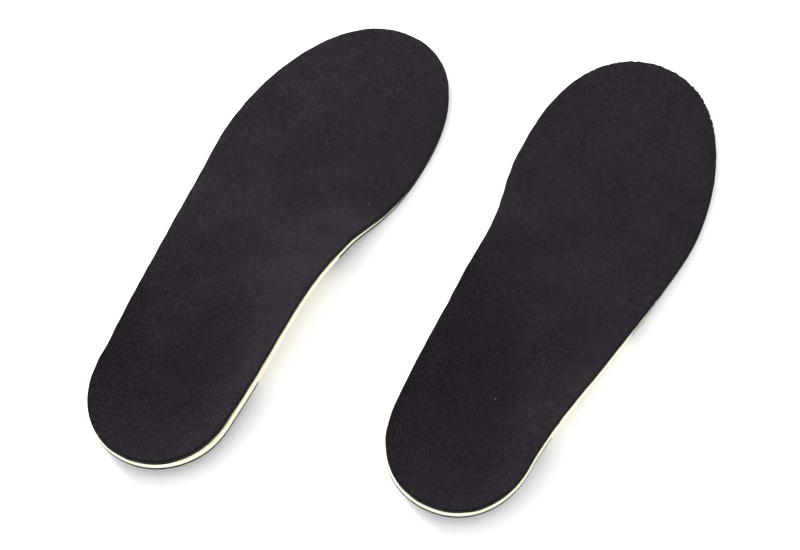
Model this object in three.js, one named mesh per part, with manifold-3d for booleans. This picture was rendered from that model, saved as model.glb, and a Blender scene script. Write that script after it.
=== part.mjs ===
// A pair of cushioned insoles: a left one and its mirror image, lying side by side with the toes
// towards +Y and the top faces up. Millimetres, +Z up. Each insole is a stack of bonded layers,
// top to bottom: knitted cover, thin black cushion, cream foam bed (heel and arch only), and
// underneath a black heel shell, a shock pad in the shell's window, and a black forefoot lining.
// Layers that cross the line where the toes bend are split there into a rear and a fore piece.
import * as THREE from "three";
import { mergeVertices } from "three/addons/utils/BufferGeometryUtils.js";
import Module from "manifold-3d";

// Plan of one insole. Lengths count from the back of the heel unless the name says otherwise.
const LENGTH = 270.5;
const HEEL_WIDTH = 65.8;
const HEEL_ROUND = 38; // length of the rounded heel end
const HEEL_TAPER = 5.2; // how much narrower the heel's sides would be, carried on to its back
const WAIST_WIDTH = 76;
const ARCH_FRONT_WIDTH = 83.6;
const BALL_WIDTH = 95.8;
const TOE_ROUND = 82.5; // length of the rounded front, from the widest line to the toe tip
const HEEL_ROUNDNESS = 2.1; // 2 is an ellipse, more is squarer
const TOE_ROUNDNESS = 2.17;
const TOE_HUB = 48; // centre of the toe's curve, behind the tip
// How far the middle line lies towards the inner side (+) or the outer side (-).
const MIDDLE_AT_HEEL = -1.8;
const MIDDLE_AT_WAIST = -5.8;
const MIDDLE_AT_ARCH_FRONT = -7.6;
const MIDDLE_AT_BALL = -5.4;
const MIDDLE_AT_TIP = -0.4;

// Layers, from the top face down.
const COVER = 0.9;
const COVER_GAP = 0.25;
const CUSHION = 2.2;
const CUSHION_GAP = 0.15;
const LINING = 0.9;
const LINING_GAP = 0.1;
const SHELL = 1.2;
const FIT_GAP = 0.25; // around everything let into the foam

// Heights of the top face: along the middle line, and along the two edges.
const HEEL_THICKNESS = 10.5;
const ARCH_THICKNESS = 10;
const FOREFOOT_THICKNESS = LINING + LINING_GAP + CUSHION_GAP + CUSHION + COVER_GAP + COVER;
const FOAM_FRONT = 1.2; // foam left at its front edge, on top of the forefoot's thickness
const HEEL_BACK_RIM = 15.5;
const HEEL_SIDE_RIM = 19.6;
const ARCH_RIM = 23.4;
const ARCH_FRONT_RIM = 15.4;
const OUTER_WAIST_RIM = 13.2;
const INNER_BALL_RISE = 2; // the inner edge at the ball, above the forefoot's thickness
const OUTER_FRONT_RISE = 3.1; // the outer edge beside the arch's front, likewise
const HEEL_SIDE_AT = 54;

// How the top face rises to its edge: 1 is a straight ramp, more is a flat floor and a steep wall.
const CUP_STEEPNESS = 2.8;
const ARCH_STEEPNESS = 1.8;

// The side under the cushion: an upright band, then a flank that runs in to the sole.
const BAND_AT_HEEL_BACK = 4.6;
const BAND_AT_INNER_HEEL = 6.1;
const BAND_AT_OUTER_HEEL = 5.4;
const BAND_AT_ARCH = 4.2;
const BAND_AT_OUTER_WAIST = 3.6;
const BAND_AT_INNER_FRONT = 3.2;
const BAND_AT_OUTER_FRONT = 1.8;
const BAND_IN_FRONT = 0.7;
// How far the band stands out past the cushion's edge: on the inner side most beside the heel.
const HEEL_PROUD = 0.9;
const HEEL_PROUD_AT = 24;
const SIDE_PROUD = 0.5;
const ARCH_FRONT_PROUD = 0.2;
const OUTER_PROUD = 0.2;
const FLANK_LEAN = 1; // how far the flank runs in for each millimetre of height
const SOLE_CHAMFER = 0.4; // smallest run of the flank, where the edge is thin
const SOLE_EDGE = 0.15; // smallest height of the flank

// Lines across the insole: where each one crosses x = 0, and its slant towards the inner side.
const FLEX_BEHIND_TIP = 84.5;
const FLEX_SLANT = THREE.MathUtils.degToRad(14.5);
const FLEX_GAP = 0.3;
const FOAM_END_BEHIND_FLEX = 18.5;
const FOAM_END_SLANT = THREE.MathUtils.degToRad(25);
const LINING_BEHIND_FLEX = 57.5;
const LINING_SLANT = THREE.MathUtils.degToRad(8);

// Places along the arch and the ball, all counted from the flex line.
const WAIST_BEHIND_FLEX = 83;
const ARCH_PEAK_BEHIND_FLEX = 80;
const ARCH_FRONT_BEHIND_FLEX = 44;
const FOAM_FRONT_BEHIND_FLEX = 20;
const INNER_BALL_BEHIND_FLEX = 14;
const FOREFOOT_FLAT_AHEAD = 18;

// Heel shell: wings round the heel, and a tongue under the arch.
const LIP = 1.4; // height of the shell's edge on the side
const INNER_WING_END = 60.5;
const OUTER_WING_END = 55.5;
const TONGUE_BEHIND_LINING = 14.5;
const TONGUE_WIDTH = 40;
const TONGUE_CORNER = 12;
const SHELL_CORNER = 10;

// Heel pad in the shell's window, and forefoot pad in the cushion's underside.
const HEEL_PAD_WIDTH = 30;
const HEEL_PAD_LENGTH = 40;
const HEEL_PAD_THICKNESS = 4;
const HEEL_PAD_RECESS = 0.3;
const FOREFOOT_PAD_WIDTH = 60;
const FOREFOOT_PAD_LENGTH = 44;
const FOREFOOT_PAD_THICKNESS = 1;
const FOREFOOT_PAD_AHEAD = 8; // its centre, ahead of the flex line

// How the pair lies.
const HEEL_SPACING = 124.5;
const RIGHT_AHEAD = 39.7;
const TOE_IN = THREE.MathUtils.degToRad(0.2);

// Mesh fineness.
const HEEL_STEPS = 8;
const SIDE_STEPS = 13;
const TOE_STEPS = 8;
const ACROSS = [0, 0.3, 0.55, 0.75, 0.9, 1];
const PAD_STEPS = 28;
const REACH = 200; // larger than any insole, for cutting blocks
const PAST = 1; // how far a cutting body stands past what it cuts

const BALL_AT = LENGTH - TOE_ROUND;
const FLEX_AT = LENGTH - FLEX_BEHIND_TIP;
const WAIST_AT = FLEX_AT - WAIST_BEHIND_FLEX;
const ARCH_PEAK_AT = FLEX_AT - ARCH_PEAK_BEHIND_FLEX;
const ARCH_FRONT_AT = FLEX_AT - ARCH_FRONT_BEHIND_FLEX;
const FOAM_FRONT_AT = FLEX_AT - FOAM_FRONT_BEHIND_FLEX;
const INNER_BALL_AT = FLEX_AT - INNER_BALL_BEHIND_FLEX;
const FOREFOOT_FLAT_AT = FLEX_AT + FOREFOOT_FLAT_AHEAD;
const FLEX_LINE = { at: FLEX_AT, slant: FLEX_SLANT };
const FOAM_END_LINE = { at: FLEX_AT - FOAM_END_BEHIND_FLEX, slant: FOAM_END_SLANT };
const LINING_LINE = { at: FLEX_AT - LINING_BEHIND_FLEX, slant: LINING_SLANT };
const TONGUE_END = LINING_LINE.at - TONGUE_BEHIND_LINING;
const UNDER_CUSHION = COVER + COVER_GAP + CUSHION;
const BLANK_DROP = UNDER_CUSHION + CUSHION_GAP;
const INNER = 1;
const OUTER = -1;

const wasm = await Module();
wasm.setup();

// A smooth function through [place, value] knots, with no overshoot between them.
function curveThrough(knots) {
  const rise = (i) => (knots[i + 1][1] - knots[i][1]) / (knots[i + 1][0] - knots[i][0]);
  const slopes = knots.map((_, i) => {
    if (i === 0 || i === knots.length - 1) return 0;
    const before = rise(i - 1);
    const after = rise(i);
    return before * after <= 0 ? 0 : (2 * before * after) / (before + after);
  });
  return (place) => {
    if (place <= knots[0][0]) return knots[0][1];
    if (place >= knots.at(-1)[0]) return knots.at(-1)[1];
    const i = knots.findLastIndex((knot) => knot[0] <= place);
    const span = knots[i + 1][0] - knots[i][0];
    const t = (place - knots[i][0]) / span;
    const ease = t * t * (3 - 2 * t);
    const leave = t * (1 - t) * (1 - t) * span * slopes[i];
    const arrive = t * t * (t - 1) * span * slopes[i + 1];
    return knots[i][1] * (1 - ease) + knots[i + 1][1] * ease + leave + arrive;
  };
}

const middleLine = curveThrough([
  [HEEL_ROUND, MIDDLE_AT_HEEL],
  [WAIST_AT, MIDDLE_AT_WAIST],
  [ARCH_FRONT_AT, MIDDLE_AT_ARCH_FRONT],
  [BALL_AT, MIDDLE_AT_BALL],
  [LENGTH, MIDDLE_AT_TIP],
]);

const sideWidth = curveThrough([
  [0, (HEEL_WIDTH - HEEL_TAPER) / 2],
  [HEEL_ROUND, HEEL_WIDTH / 2],
  [WAIST_AT, WAIST_WIDTH / 2],
  [ARCH_FRONT_AT, ARCH_FRONT_WIDTH / 2],
  [BALL_AT, BALL_WIDTH / 2],
]);

const thickness = curveThrough([
  [HEEL_ROUND, HEEL_THICKNESS],
  [ARCH_PEAK_AT, ARCH_THICKNESS],
  [FOAM_FRONT_AT, FOREFOOT_THICKNESS + FOAM_FRONT],
  [FOREFOOT_FLAT_AT, FOREFOOT_THICKNESS],
]);

const rimHeight = {
  [INNER]: curveThrough([
    [0, HEEL_BACK_RIM],
    [HEEL_SIDE_AT, HEEL_SIDE_RIM],
    [ARCH_PEAK_AT, ARCH_RIM],
    [ARCH_FRONT_AT, ARCH_FRONT_RIM],
    [INNER_BALL_AT, FOREFOOT_THICKNESS + INNER_BALL_RISE],
    [FOREFOOT_FLAT_AT, FOREFOOT_THICKNESS],
  ]),
  [OUTER]: curveThrough([
    [0, HEEL_BACK_RIM],
    [HEEL_SIDE_AT, HEEL_SIDE_RIM],
    [WAIST_AT, OUTER_WAIST_RIM],
    [ARCH_FRONT_AT, FOREFOOT_THICKNESS + OUTER_FRONT_RISE],
    [FOREFOOT_FLAT_AT, FOREFOOT_THICKNESS],
  ]),
};

const steepness = {
  [INNER]: curveThrough([
    [HEEL_ROUND, CUP_STEEPNESS],
    [ARCH_PEAK_AT, ARCH_STEEPNESS],
  ]),
  [OUTER]: () => CUP_STEEPNESS,
};

const bandHeight = {
  [INNER]: curveThrough([
    [0, BAND_AT_HEEL_BACK],
    [HEEL_SIDE_AT, BAND_AT_INNER_HEEL],
    [ARCH_PEAK_AT, BAND_AT_ARCH],
    [ARCH_FRONT_AT, BAND_AT_INNER_FRONT],
    [FOREFOOT_FLAT_AT, BAND_IN_FRONT],
  ]),
  [OUTER]: curveThrough([
    [0, BAND_AT_HEEL_BACK],
    [HEEL_SIDE_AT, BAND_AT_OUTER_HEEL],
    [WAIST_AT, BAND_AT_OUTER_WAIST],
    [ARCH_FRONT_AT, BAND_AT_OUTER_FRONT],
    [FOREFOOT_FLAT_AT, BAND_IN_FRONT],
  ]),
};

// How far the band stands proud: nothing at the very back, and nothing in front of the arch.
const proud = {
  [INNER]: curveThrough([
    [0, 0],
    [HEEL_PROUD_AT, HEEL_PROUD],
    [HEEL_SIDE_AT, SIDE_PROUD],
    [ARCH_FRONT_AT, ARCH_FRONT_PROUD],
    [INNER_BALL_AT, 0],
  ]),
  [OUTER]: curveThrough([
    [0, 0],
    [HEEL_ROUND, OUTER_PROUD],
    [ARCH_FRONT_AT, 0],
  ]),
};

// Half the plan width at a distance from the heel's back.
function halfWidth(y) {
  const rounded = (share, power) => Math.pow(Math.max(0, 1 - Math.pow(share, power)), 1 / power);
  if (y < HEEL_ROUND) return (HEEL_WIDTH / 2) * rounded(1 - y / HEEL_ROUND, HEEL_ROUNDNESS);
  if (y > BALL_AT) return (BALL_WIDTH / 2) * rounded((y - BALL_AT) / TOE_ROUND, TOE_ROUNDNESS);
  return sideWidth(y);
}

// The places along the insole where a row of points crosses it.
function stationPlaces() {
  const quarter = Math.PI / 2;
  const heel = Array.from({ length: HEEL_STEPS }, (_, i) =>
    HEEL_ROUND * (1 - Math.cos((quarter * i) / HEEL_STEPS)));
  const side = Array.from({ length: SIDE_STEPS }, (_, i) =>
    HEEL_ROUND + ((BALL_AT - HEEL_ROUND) * i) / SIDE_STEPS);
  const toe = Array.from({ length: TOE_STEPS + 1 }, (_, i) =>
    BALL_AT + TOE_ROUND * Math.sin((quarter * i) / TOE_STEPS));
  return [...heel, ...side, ...toe];
}

// A row: its hub on the middle line, and its two ends on the rim. Round the heel and the toe the
// rows fan out from one hub.
const ROWS = stationPlaces().map((y) => {
  const hubY = THREE.MathUtils.clamp(y, HEEL_ROUND, LENGTH - TOE_HUB);
  const hub = new THREE.Vector2(middleLine(hubY), hubY);
  const rim = (side) => new THREE.Vector2(middleLine(y) + side * halfWidth(y), y);
  return { y, hub, rims: { [INNER]: rim(INNER), [OUTER]: rim(OUTER) } };
});

// A point of a row in plan: share 0 is the hub, 1 the rim.
function across(row, side, share) {
  return row.hub.clone().lerp(row.rims[side], share);
}

// Height of the top face at a point of a row.
function topFace(row, side, share) {
  const floor = thickness(row.hub.y);
  const rise = rimHeight[side](row.y) - floor;
  return floor + rise * Math.pow(share, steepness[side](row.y));
}

// A closed solid from one profile per row and side: a list of [share, height] from the hub on top,
// out to the rim, and back to the hub underneath. Faces above and below each other are halved
// along the same diagonal, so that layers keep an even gap.
function loft(profile) {
  const corners = [];
  for (const side of [INNER, OUTER]) {
    const profiles = ROWS.map((row) => profile(row, side));
    const lines = profiles.map((points, i) => points.map(([share, height]) => {
      const place = across(ROWS[i], side, share);
      return new THREE.Vector3(place.x, place.y, height);
    }));
    for (let i = 0; i + 1 < lines.length; i++) {
      for (let k = 0; k + 1 < lines[i].length; k++) {
        const [a, b] = [lines[i][k], lines[i][k + 1]];
        const [d, c] = [lines[i + 1][k], lines[i + 1][k + 1]];
        const inwards = profiles[i][k + 1][0] < profiles[i][k][0];
        const face = inwards ? [a, b, d, b, c, d] : [a, b, c, a, c, d];
        corners.push(...(side === INNER ? face : face.reverse()));
      }
    }
  }
  return solidOf(new THREE.BufferGeometry().setFromPoints(corners));
}

// A three.js geometry as a solid, with shared corners merged and faces without area left out.
function solidOf(geometry) {
  const bare = geometry.clone();
  bare.deleteAttribute("normal");
  bare.deleteAttribute("uv");
  const merged = mergeVertices(bare, 1e-4);
  const index = merged.index.array;
  const triVerts = [];
  for (let i = 0; i < index.length; i += 3) {
    const [a, b, c] = index.slice(i, i + 3);
    if (a !== b && b !== c && a !== c) triVerts.push(a, b, c);
  }
  return new wasm.Manifold(new wasm.Mesh({
    numProp: 3,
    vertProperties: merged.attributes.position.array,
    triVerts: new Uint32Array(triVerts),
  }));
}

// An upright block over a plan shape, taller than the insole.
function blockOver(shape, curveSegments = 12) {
  const options = { depth: 2 * REACH, bevelEnabled: false, curveSegments };
  return solidOf(new THREE.ExtrudeGeometry(shape, options).translate(0, 0, -REACH));
}

// Everything ahead of a line across the insole, moved forwards by shift.
function aheadOf(line, shift = 0) {
  const yAt = (x) => line.at + shift / Math.cos(line.slant) + x * Math.tan(line.slant);
  const shape = new THREE.Shape([
    new THREE.Vector2(-REACH, yAt(-REACH)),
    new THREE.Vector2(REACH, yAt(REACH)),
    new THREE.Vector2(REACH, 3 * REACH),
    new THREE.Vector2(-REACH, 3 * REACH),
  ]);
  return blockOver(shape);
}

// A layer of even thickness that follows the top face, from one depth under it to another.
function layer(upper, lower) {
  return loft((row, side) => [
    ...ACROSS.map((share) => [share, topFace(row, side, share) - upper]),
    ...ACROSS.toReversed().map((share) => [share, topFace(row, side, share) - lower]),
  ]);
}

// The side at one end of a row: its share, the heights of its shoulder and of its foot, and the
// run of the flank below it.
function flank(row, side) {
  const reach = row.hub.distanceTo(row.rims[side]);
  const out = proud[side](row.y);
  const top = rimHeight[side](row.y) - BLANK_DROP;
  const foot = Math.max(top - bandHeight[side](row.y), SOLE_EDGE);
  const run = Math.max(foot * FLANK_LEAN, SOLE_CHAMFER);
  return { edge: 1 + out / reach, shoulder: top - out, foot, run, reach };
}

// All that lies under the cushion, as one body: band, flank and flat sole.
function blank() {
  return loft((row, side) => {
    const { edge, shoulder, foot, run, reach } = flank(row, side);
    return [
      ...ACROSS.map((share) => [share, topFace(row, side, share) - BLANK_DROP]),
      [edge, shoulder],
      [edge, foot],
      [edge - run / reach, 0],
      [0, 0],
    ];
  });
}

// What is left of the blank inside a skin of a given thickness on its flank and sole, whose edge
// on the side is no higher than its lip. It stands past the blank above and at the rim, so that it
// cuts cleanly.
function insideSkin(depth, lip = Infinity) {
  return loft((row, side) => {
    const { edge, foot, run, reach } = flank(row, side);
    const slope = foot / run;
    const inner = foot + depth * Math.hypot(1, slope);
    const top = Math.min(foot + lip, inner + slope * PAST);
    const shareAt = (height) => edge - (inner - height) / (slope * reach);
    return [
      ...ACROSS.map((share) => [
        share === 1 ? edge + PAST / reach : share,
        topFace(row, side, share) - BLANK_DROP + PAST + depth,
      ]),
      [edge + PAST / reach, top],
      [shareAt(top), top],
      [shareAt(depth), depth],
      [0, depth],
    ];
  });
}

// Plan of the heel shell: as wide as the heel at the back, then a round-ended tongue.
function shellPlan(grow = 0) {
  const half = TONGUE_WIDTH / 2 + grow;
  const middle = middleLine(HEEL_SIDE_AT);
  const inner = INNER_WING_END + grow;
  const outer = OUTER_WING_END + grow;
  const tip = TONGUE_END + grow;
  const shape = new THREE.Shape();
  shape.moveTo(-REACH, -REACH);
  shape.lineTo(REACH, -REACH);
  shape.lineTo(REACH, inner);
  shape.lineTo(middle + half + SHELL_CORNER, inner);
  shape.quadraticCurveTo(middle + half, inner, middle + half, inner + SHELL_CORNER);
  shape.lineTo(middle + half, tip - TONGUE_CORNER);
  shape.quadraticCurveTo(middle + half, tip, middle + half - TONGUE_CORNER, tip);
  shape.lineTo(middle - half + TONGUE_CORNER, tip);
  shape.quadraticCurveTo(middle - half, tip, middle - half, tip - TONGUE_CORNER);
  shape.lineTo(middle - half, outer + SHELL_CORNER);
  shape.quadraticCurveTo(middle - half, outer, middle - half - SHELL_CORNER, outer);
  shape.lineTo(-REACH, outer);
  shape.closePath();
  return blockOver(shape, 4);
}

// Plan of an oval pad, as points so that it has even steps.
function oval(centre, width, length) {
  const shape = new THREE.Shape();
  shape.absellipse(centre.x, centre.y, width / 2, length / 2, 0, 2 * Math.PI);
  return new THREE.Shape(shape.getPoints(PAD_STEPS / 2).slice(0, PAD_STEPS));
}

// The heel pad, or the room it needs, grown by a gap.
function heelPad(grow = 0) {
  const centre = new THREE.Vector2(middleLine(HEEL_ROUND), HEEL_ROUND);
  const plan = oval(centre, HEEL_PAD_WIDTH + 2 * grow, HEEL_PAD_LENGTH + 2 * grow);
  const foot = HEEL_PAD_RECESS - (grow > 0 ? HEEL_PAD_RECESS + PAST : 0);
  const depth = HEEL_PAD_RECESS + HEEL_PAD_THICKNESS + grow - foot;
  const options = { depth, bevelEnabled: false };
  return solidOf(new THREE.ExtrudeGeometry(plan, options).translate(0, 0, foot));
}

// The forefoot pad, or the room it needs in the cushion's underside, grown by a gap.
function forefootPad(grow = 0) {
  const centreY = FLEX_AT + FOREFOOT_PAD_AHEAD;
  const centre = new THREE.Vector2(middleLine(centreY), centreY);
  const plan = oval(centre, FOREFOOT_PAD_WIDTH + 2 * grow, FOREFOOT_PAD_LENGTH + 2 * grow);
  const upper = UNDER_CUSHION - FOREFOOT_PAD_THICKNESS - grow;
  const lower = UNDER_CUSHION + (grow > 0 ? PAST : 0);
  return layer(upper, lower).intersect(blockOver(plan));
}

// The part of a solid behind the flex line and the part ahead of it.
function splitAtFlex(solid) {
  return {
    rear: solid.subtract(aheadOf(FLEX_LINE, -FLEX_GAP / 2)),
    fore: solid.intersect(aheadOf(FLEX_LINE, FLEX_GAP / 2)),
  };
}

function makePieces() {
  const under = blank();
  const lining = under.subtract(insideSkin(LINING)).intersect(aheadOf(LINING_LINE));
  const liningRoom = aheadOf(LINING_LINE, -FIT_GAP).subtract(insideSkin(LINING + FIT_GAP));
  const shell = under.subtract(insideSkin(SHELL, LIP)).intersect(shellPlan())
    .subtract(heelPad(FIT_GAP));
  const shellRoom = shellPlan(FIT_GAP).subtract(insideSkin(SHELL + FIT_GAP, LIP + FIT_GAP));
  const foam = under.subtract(aheadOf(FOAM_END_LINE)).subtract(liningRoom)
    .subtract(shellRoom).subtract(heelPad(FIT_GAP));
  const cover = splitAtFlex(layer(0, COVER));
  const cushion = splitAtFlex(
    layer(COVER + COVER_GAP, UNDER_CUSHION).subtract(forefootPad(CUSHION_GAP)));
  const pad = splitAtFlex(forefootPad());
  const lined = splitAtFlex(lining);
  return {
    top_cover_rear: cover.rear,
    top_cover_fore: cover.fore,
    cushion_rear: cushion.rear,
    cushion_fore: cushion.fore,
    foam_bed: foam,
    heel_shell: shell,
    heel_pad: heelPad(),
    forefoot_pad_rear: pad.rear,
    forefoot_pad_fore: pad.fore,
    lining_rear: lined.rear,
    lining_fore: lined.fore,
  };
}

// A solid as a three.js geometry.
function geometryOf(solid) {
  const mesh = solid.getMesh();
  const points = new Float32Array(mesh.numVert * 3);
  for (let i = 0; i < mesh.numVert; i++) {
    points.set(mesh.vertProperties.subarray(i * mesh.numProp, i * mesh.numProp + 3), i * 3);
  }
  const geometry = new THREE.BufferGeometry();
  geometry.setAttribute("position", new THREE.BufferAttribute(points, 3));
  geometry.setIndex(new THREE.BufferAttribute(mesh.triVerts, 1));
  geometry.computeVertexNormals();
  return geometry;
}

const knit = { color: 0x312c34, roughness: 0.95, metalness: 0 };
const blackFoam = { color: 0x222025, roughness: 0.9, metalness: 0 };
const creamFoam = { color: 0xf3ead0, roughness: 0.8, metalness: 0 };
const blackPlastic = { color: 0x18181b, roughness: 0.45, metalness: 0 };
const greyGel = { color: 0x6d7580, roughness: 0.4, metalness: 0 };
const blackCloth = { color: 0x1e1d21, roughness: 0.95, metalness: 0 };
const FINISH = {
  top_cover_rear: knit,
  top_cover_fore: knit,
  cushion_rear: blackFoam,
  cushion_fore: blackFoam,
  foam_bed: creamFoam,
  heel_shell: blackPlastic,
  heel_pad: greyGel,
  forefoot_pad_rear: greyGel,
  forefoot_pad_fore: greyGel,
  lining_rear: blackCloth,
  lining_fore: blackCloth,
};

const GEOMETRY = Object.fromEntries(
  Object.entries(makePieces()).map(([name, solid]) => [name, geometryOf(solid)]));

// One insole as a group of named meshes, its heel at the group's origin.
function makeInsole(foot) {
  const insole = new THREE.Group();
  for (const [name, geometry] of Object.entries(GEOMETRY)) {
    const mesh = new THREE.Mesh(geometry, new THREE.MeshStandardMaterial(FINISH[name]));
    mesh.name = `${foot}_${name}`;
    insole.add(mesh);
  }
  return insole;
}

// The pair, with the middle of its footprint at the origin.
function makePair() {
  const left = makeInsole("left");
  left.rotation.z = -TOE_IN;
  const right = makeInsole("right");
  right.scale.x = -1;
  right.rotation.z = TOE_IN;
  right.position.set(HEEL_SPACING, RIGHT_AHEAD, 0);
  const pair = new THREE.Group();
  pair.add(left, right);
  const middle = new THREE.Box3().setFromObject(pair, true).getCenter(new THREE.Vector3());
  pair.position.set(-middle.x, -middle.y, 0);
  const insoles = new THREE.Group();
  insoles.add(pair);
  return insoles;
}

export default makePair();
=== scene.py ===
"""A pair of cushioned insoles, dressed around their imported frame.

Each insole is a stack of bonded layers. From the top down they are a knitted cover, a thin black
cushion with a forefoot pad let into its underside, a cream foam bed under the heel and the arch,
and underneath a black heel shell with a tongue, a gel pad in the shell's window and a black
forefoot lining. Shapes are worked out in millimetres in the insole's own frame: the back of the
heel at y = 0, the toes towards +y, the inner side towards +x and the ground at z = 0.
"""
import logging
import math
from dataclasses import dataclass, field
from enum import Enum
from typing import Callable

import bpy
import numpy as np
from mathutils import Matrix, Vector
from mathutils.geometry import delaunay_2d_cdt


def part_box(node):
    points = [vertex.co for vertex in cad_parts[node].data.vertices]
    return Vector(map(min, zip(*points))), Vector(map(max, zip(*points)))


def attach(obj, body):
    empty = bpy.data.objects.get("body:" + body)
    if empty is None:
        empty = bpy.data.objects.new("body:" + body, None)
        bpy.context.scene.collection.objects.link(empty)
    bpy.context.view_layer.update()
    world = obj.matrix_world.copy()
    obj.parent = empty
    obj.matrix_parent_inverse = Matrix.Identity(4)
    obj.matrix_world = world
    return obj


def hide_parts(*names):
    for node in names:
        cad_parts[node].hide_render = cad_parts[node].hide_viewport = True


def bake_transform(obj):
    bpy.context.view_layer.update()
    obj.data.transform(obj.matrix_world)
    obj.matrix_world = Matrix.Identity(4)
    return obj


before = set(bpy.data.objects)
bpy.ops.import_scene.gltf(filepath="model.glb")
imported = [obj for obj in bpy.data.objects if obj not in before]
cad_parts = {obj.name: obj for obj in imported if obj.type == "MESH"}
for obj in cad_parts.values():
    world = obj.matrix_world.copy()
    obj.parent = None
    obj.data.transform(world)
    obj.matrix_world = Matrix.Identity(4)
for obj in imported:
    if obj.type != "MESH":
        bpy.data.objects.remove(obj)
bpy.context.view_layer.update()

MM = 0.001
SAME_POINT = 1e-7
SHARP_EDGE = 50
LOG = logging.getLogger("insoles")

Colour = tuple[float, float, float]
Row = tuple[float, ...]
Heights = Callable[[np.ndarray], np.ndarray]
Level = tuple[np.ndarray | float, Heights]
Socket = bpy.types.NodeSocket


class Foot(Enum):
    """The two insoles of the pair."""

    LEFT = "left"
    RIGHT = "right"

    @property
    def sign(self) -> int:
        """1 where the inner side points to the row's +x, and -1 where it is mirrored."""
        return 1 if self is Foot.LEFT else -1

    @property
    def rear(self) -> str:
        """The body that holds everything behind the line where the toes bend."""
        return f"{self.value}_rear"

    @property
    def forefoot(self) -> str:
        """The name of a body ahead of the line where the toes bend; no piece is fixed to it."""
        return f"{self.value}_forefoot"

    def node(self, piece: str) -> str:
        """The full name of one of this insole's pieces."""
        return f"{self.value}_{piece}"

    def pick(self, left: float, right: float) -> float:
        """The value that holds for this insole, out of two."""
        return left if self is Foot.LEFT else right


# ---------------------------------------------------------------------------------------------
# Shape of an insole
# ---------------------------------------------------------------------------------------------


@dataclass(frozen=True)
class Curve:
    """A smooth line through (place, value) knots: level at both ends, with no overshoot."""

    knots: tuple[tuple[float, float], ...]

    @classmethod
    def through(cls, places: Row, values: Row) -> "Curve":
        """The curve that has each value at its place."""
        return cls(tuple(zip(places, values, strict=True)))

    def __call__(self, place: np.ndarray) -> np.ndarray:
        """Values of the curve.

        Args:
            place: where to read it; places outside the knots give the end values.

        Returns:
            One value for each place.
        """
        at, value = np.array(self.knots, float).T
        rise = np.diff(value) / np.diff(at)
        total = rise[:-1] + rise[1:]
        same_way = rise[:-1] * rise[1:] > 0
        slope = np.zeros(len(at))
        slope[1:-1] = np.where(
            same_way, 2 * rise[:-1] * rise[1:] / np.where(same_way, total, 1), 0
        )
        place = np.clip(place, at[0], at[-1])
        i = np.clip(np.searchsorted(at, place, side="right") - 1, 0, len(at) - 2)
        span = at[i + 1] - at[i]
        t = (place - at[i]) / span
        ease = t * t * (3 - 2 * t)
        leave = t * (1 - t) ** 2 * span * slope[i]
        arrive = t * t * (t - 1) * span * slope[i + 1]
        return value[i] * (1 - ease) + value[i + 1] * ease + leave + arrive


@dataclass(frozen=True)
class Line:
    """A straight line across the insole, in plan.

    Attributes:
        at: where it crosses x = 0.
        slant: its slope towards the inner side, in degrees.
    """

    at: float
    slant: float

    @property
    def ahead(self) -> np.ndarray:
        """The unit vector square to the line, towards the toes."""
        angle = math.radians(self.slant)
        return np.array([-math.sin(angle), math.cos(angle)])

    def distance(self, plan: np.ndarray) -> np.ndarray:
        """How far plan points lie ahead of the line."""
        return (plan - np.array([0.0, self.at])) @ self.ahead


@dataclass(frozen=True)
class Place:
    """Where plan points lie on the insole's rows, one entry for each point.

    Attributes:
        share: 0 on the middle line, 1 on the rim.
        row: how far from the heel's back the point's row meets the rim.
        hub: how far from the heel's back the row starts on the middle line.
        reach: the row's length.
        inner: whether the point lies on the inner side.
    """

    share: np.ndarray
    row: np.ndarray
    hub: np.ndarray
    reach: np.ndarray
    inner: np.ndarray


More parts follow.
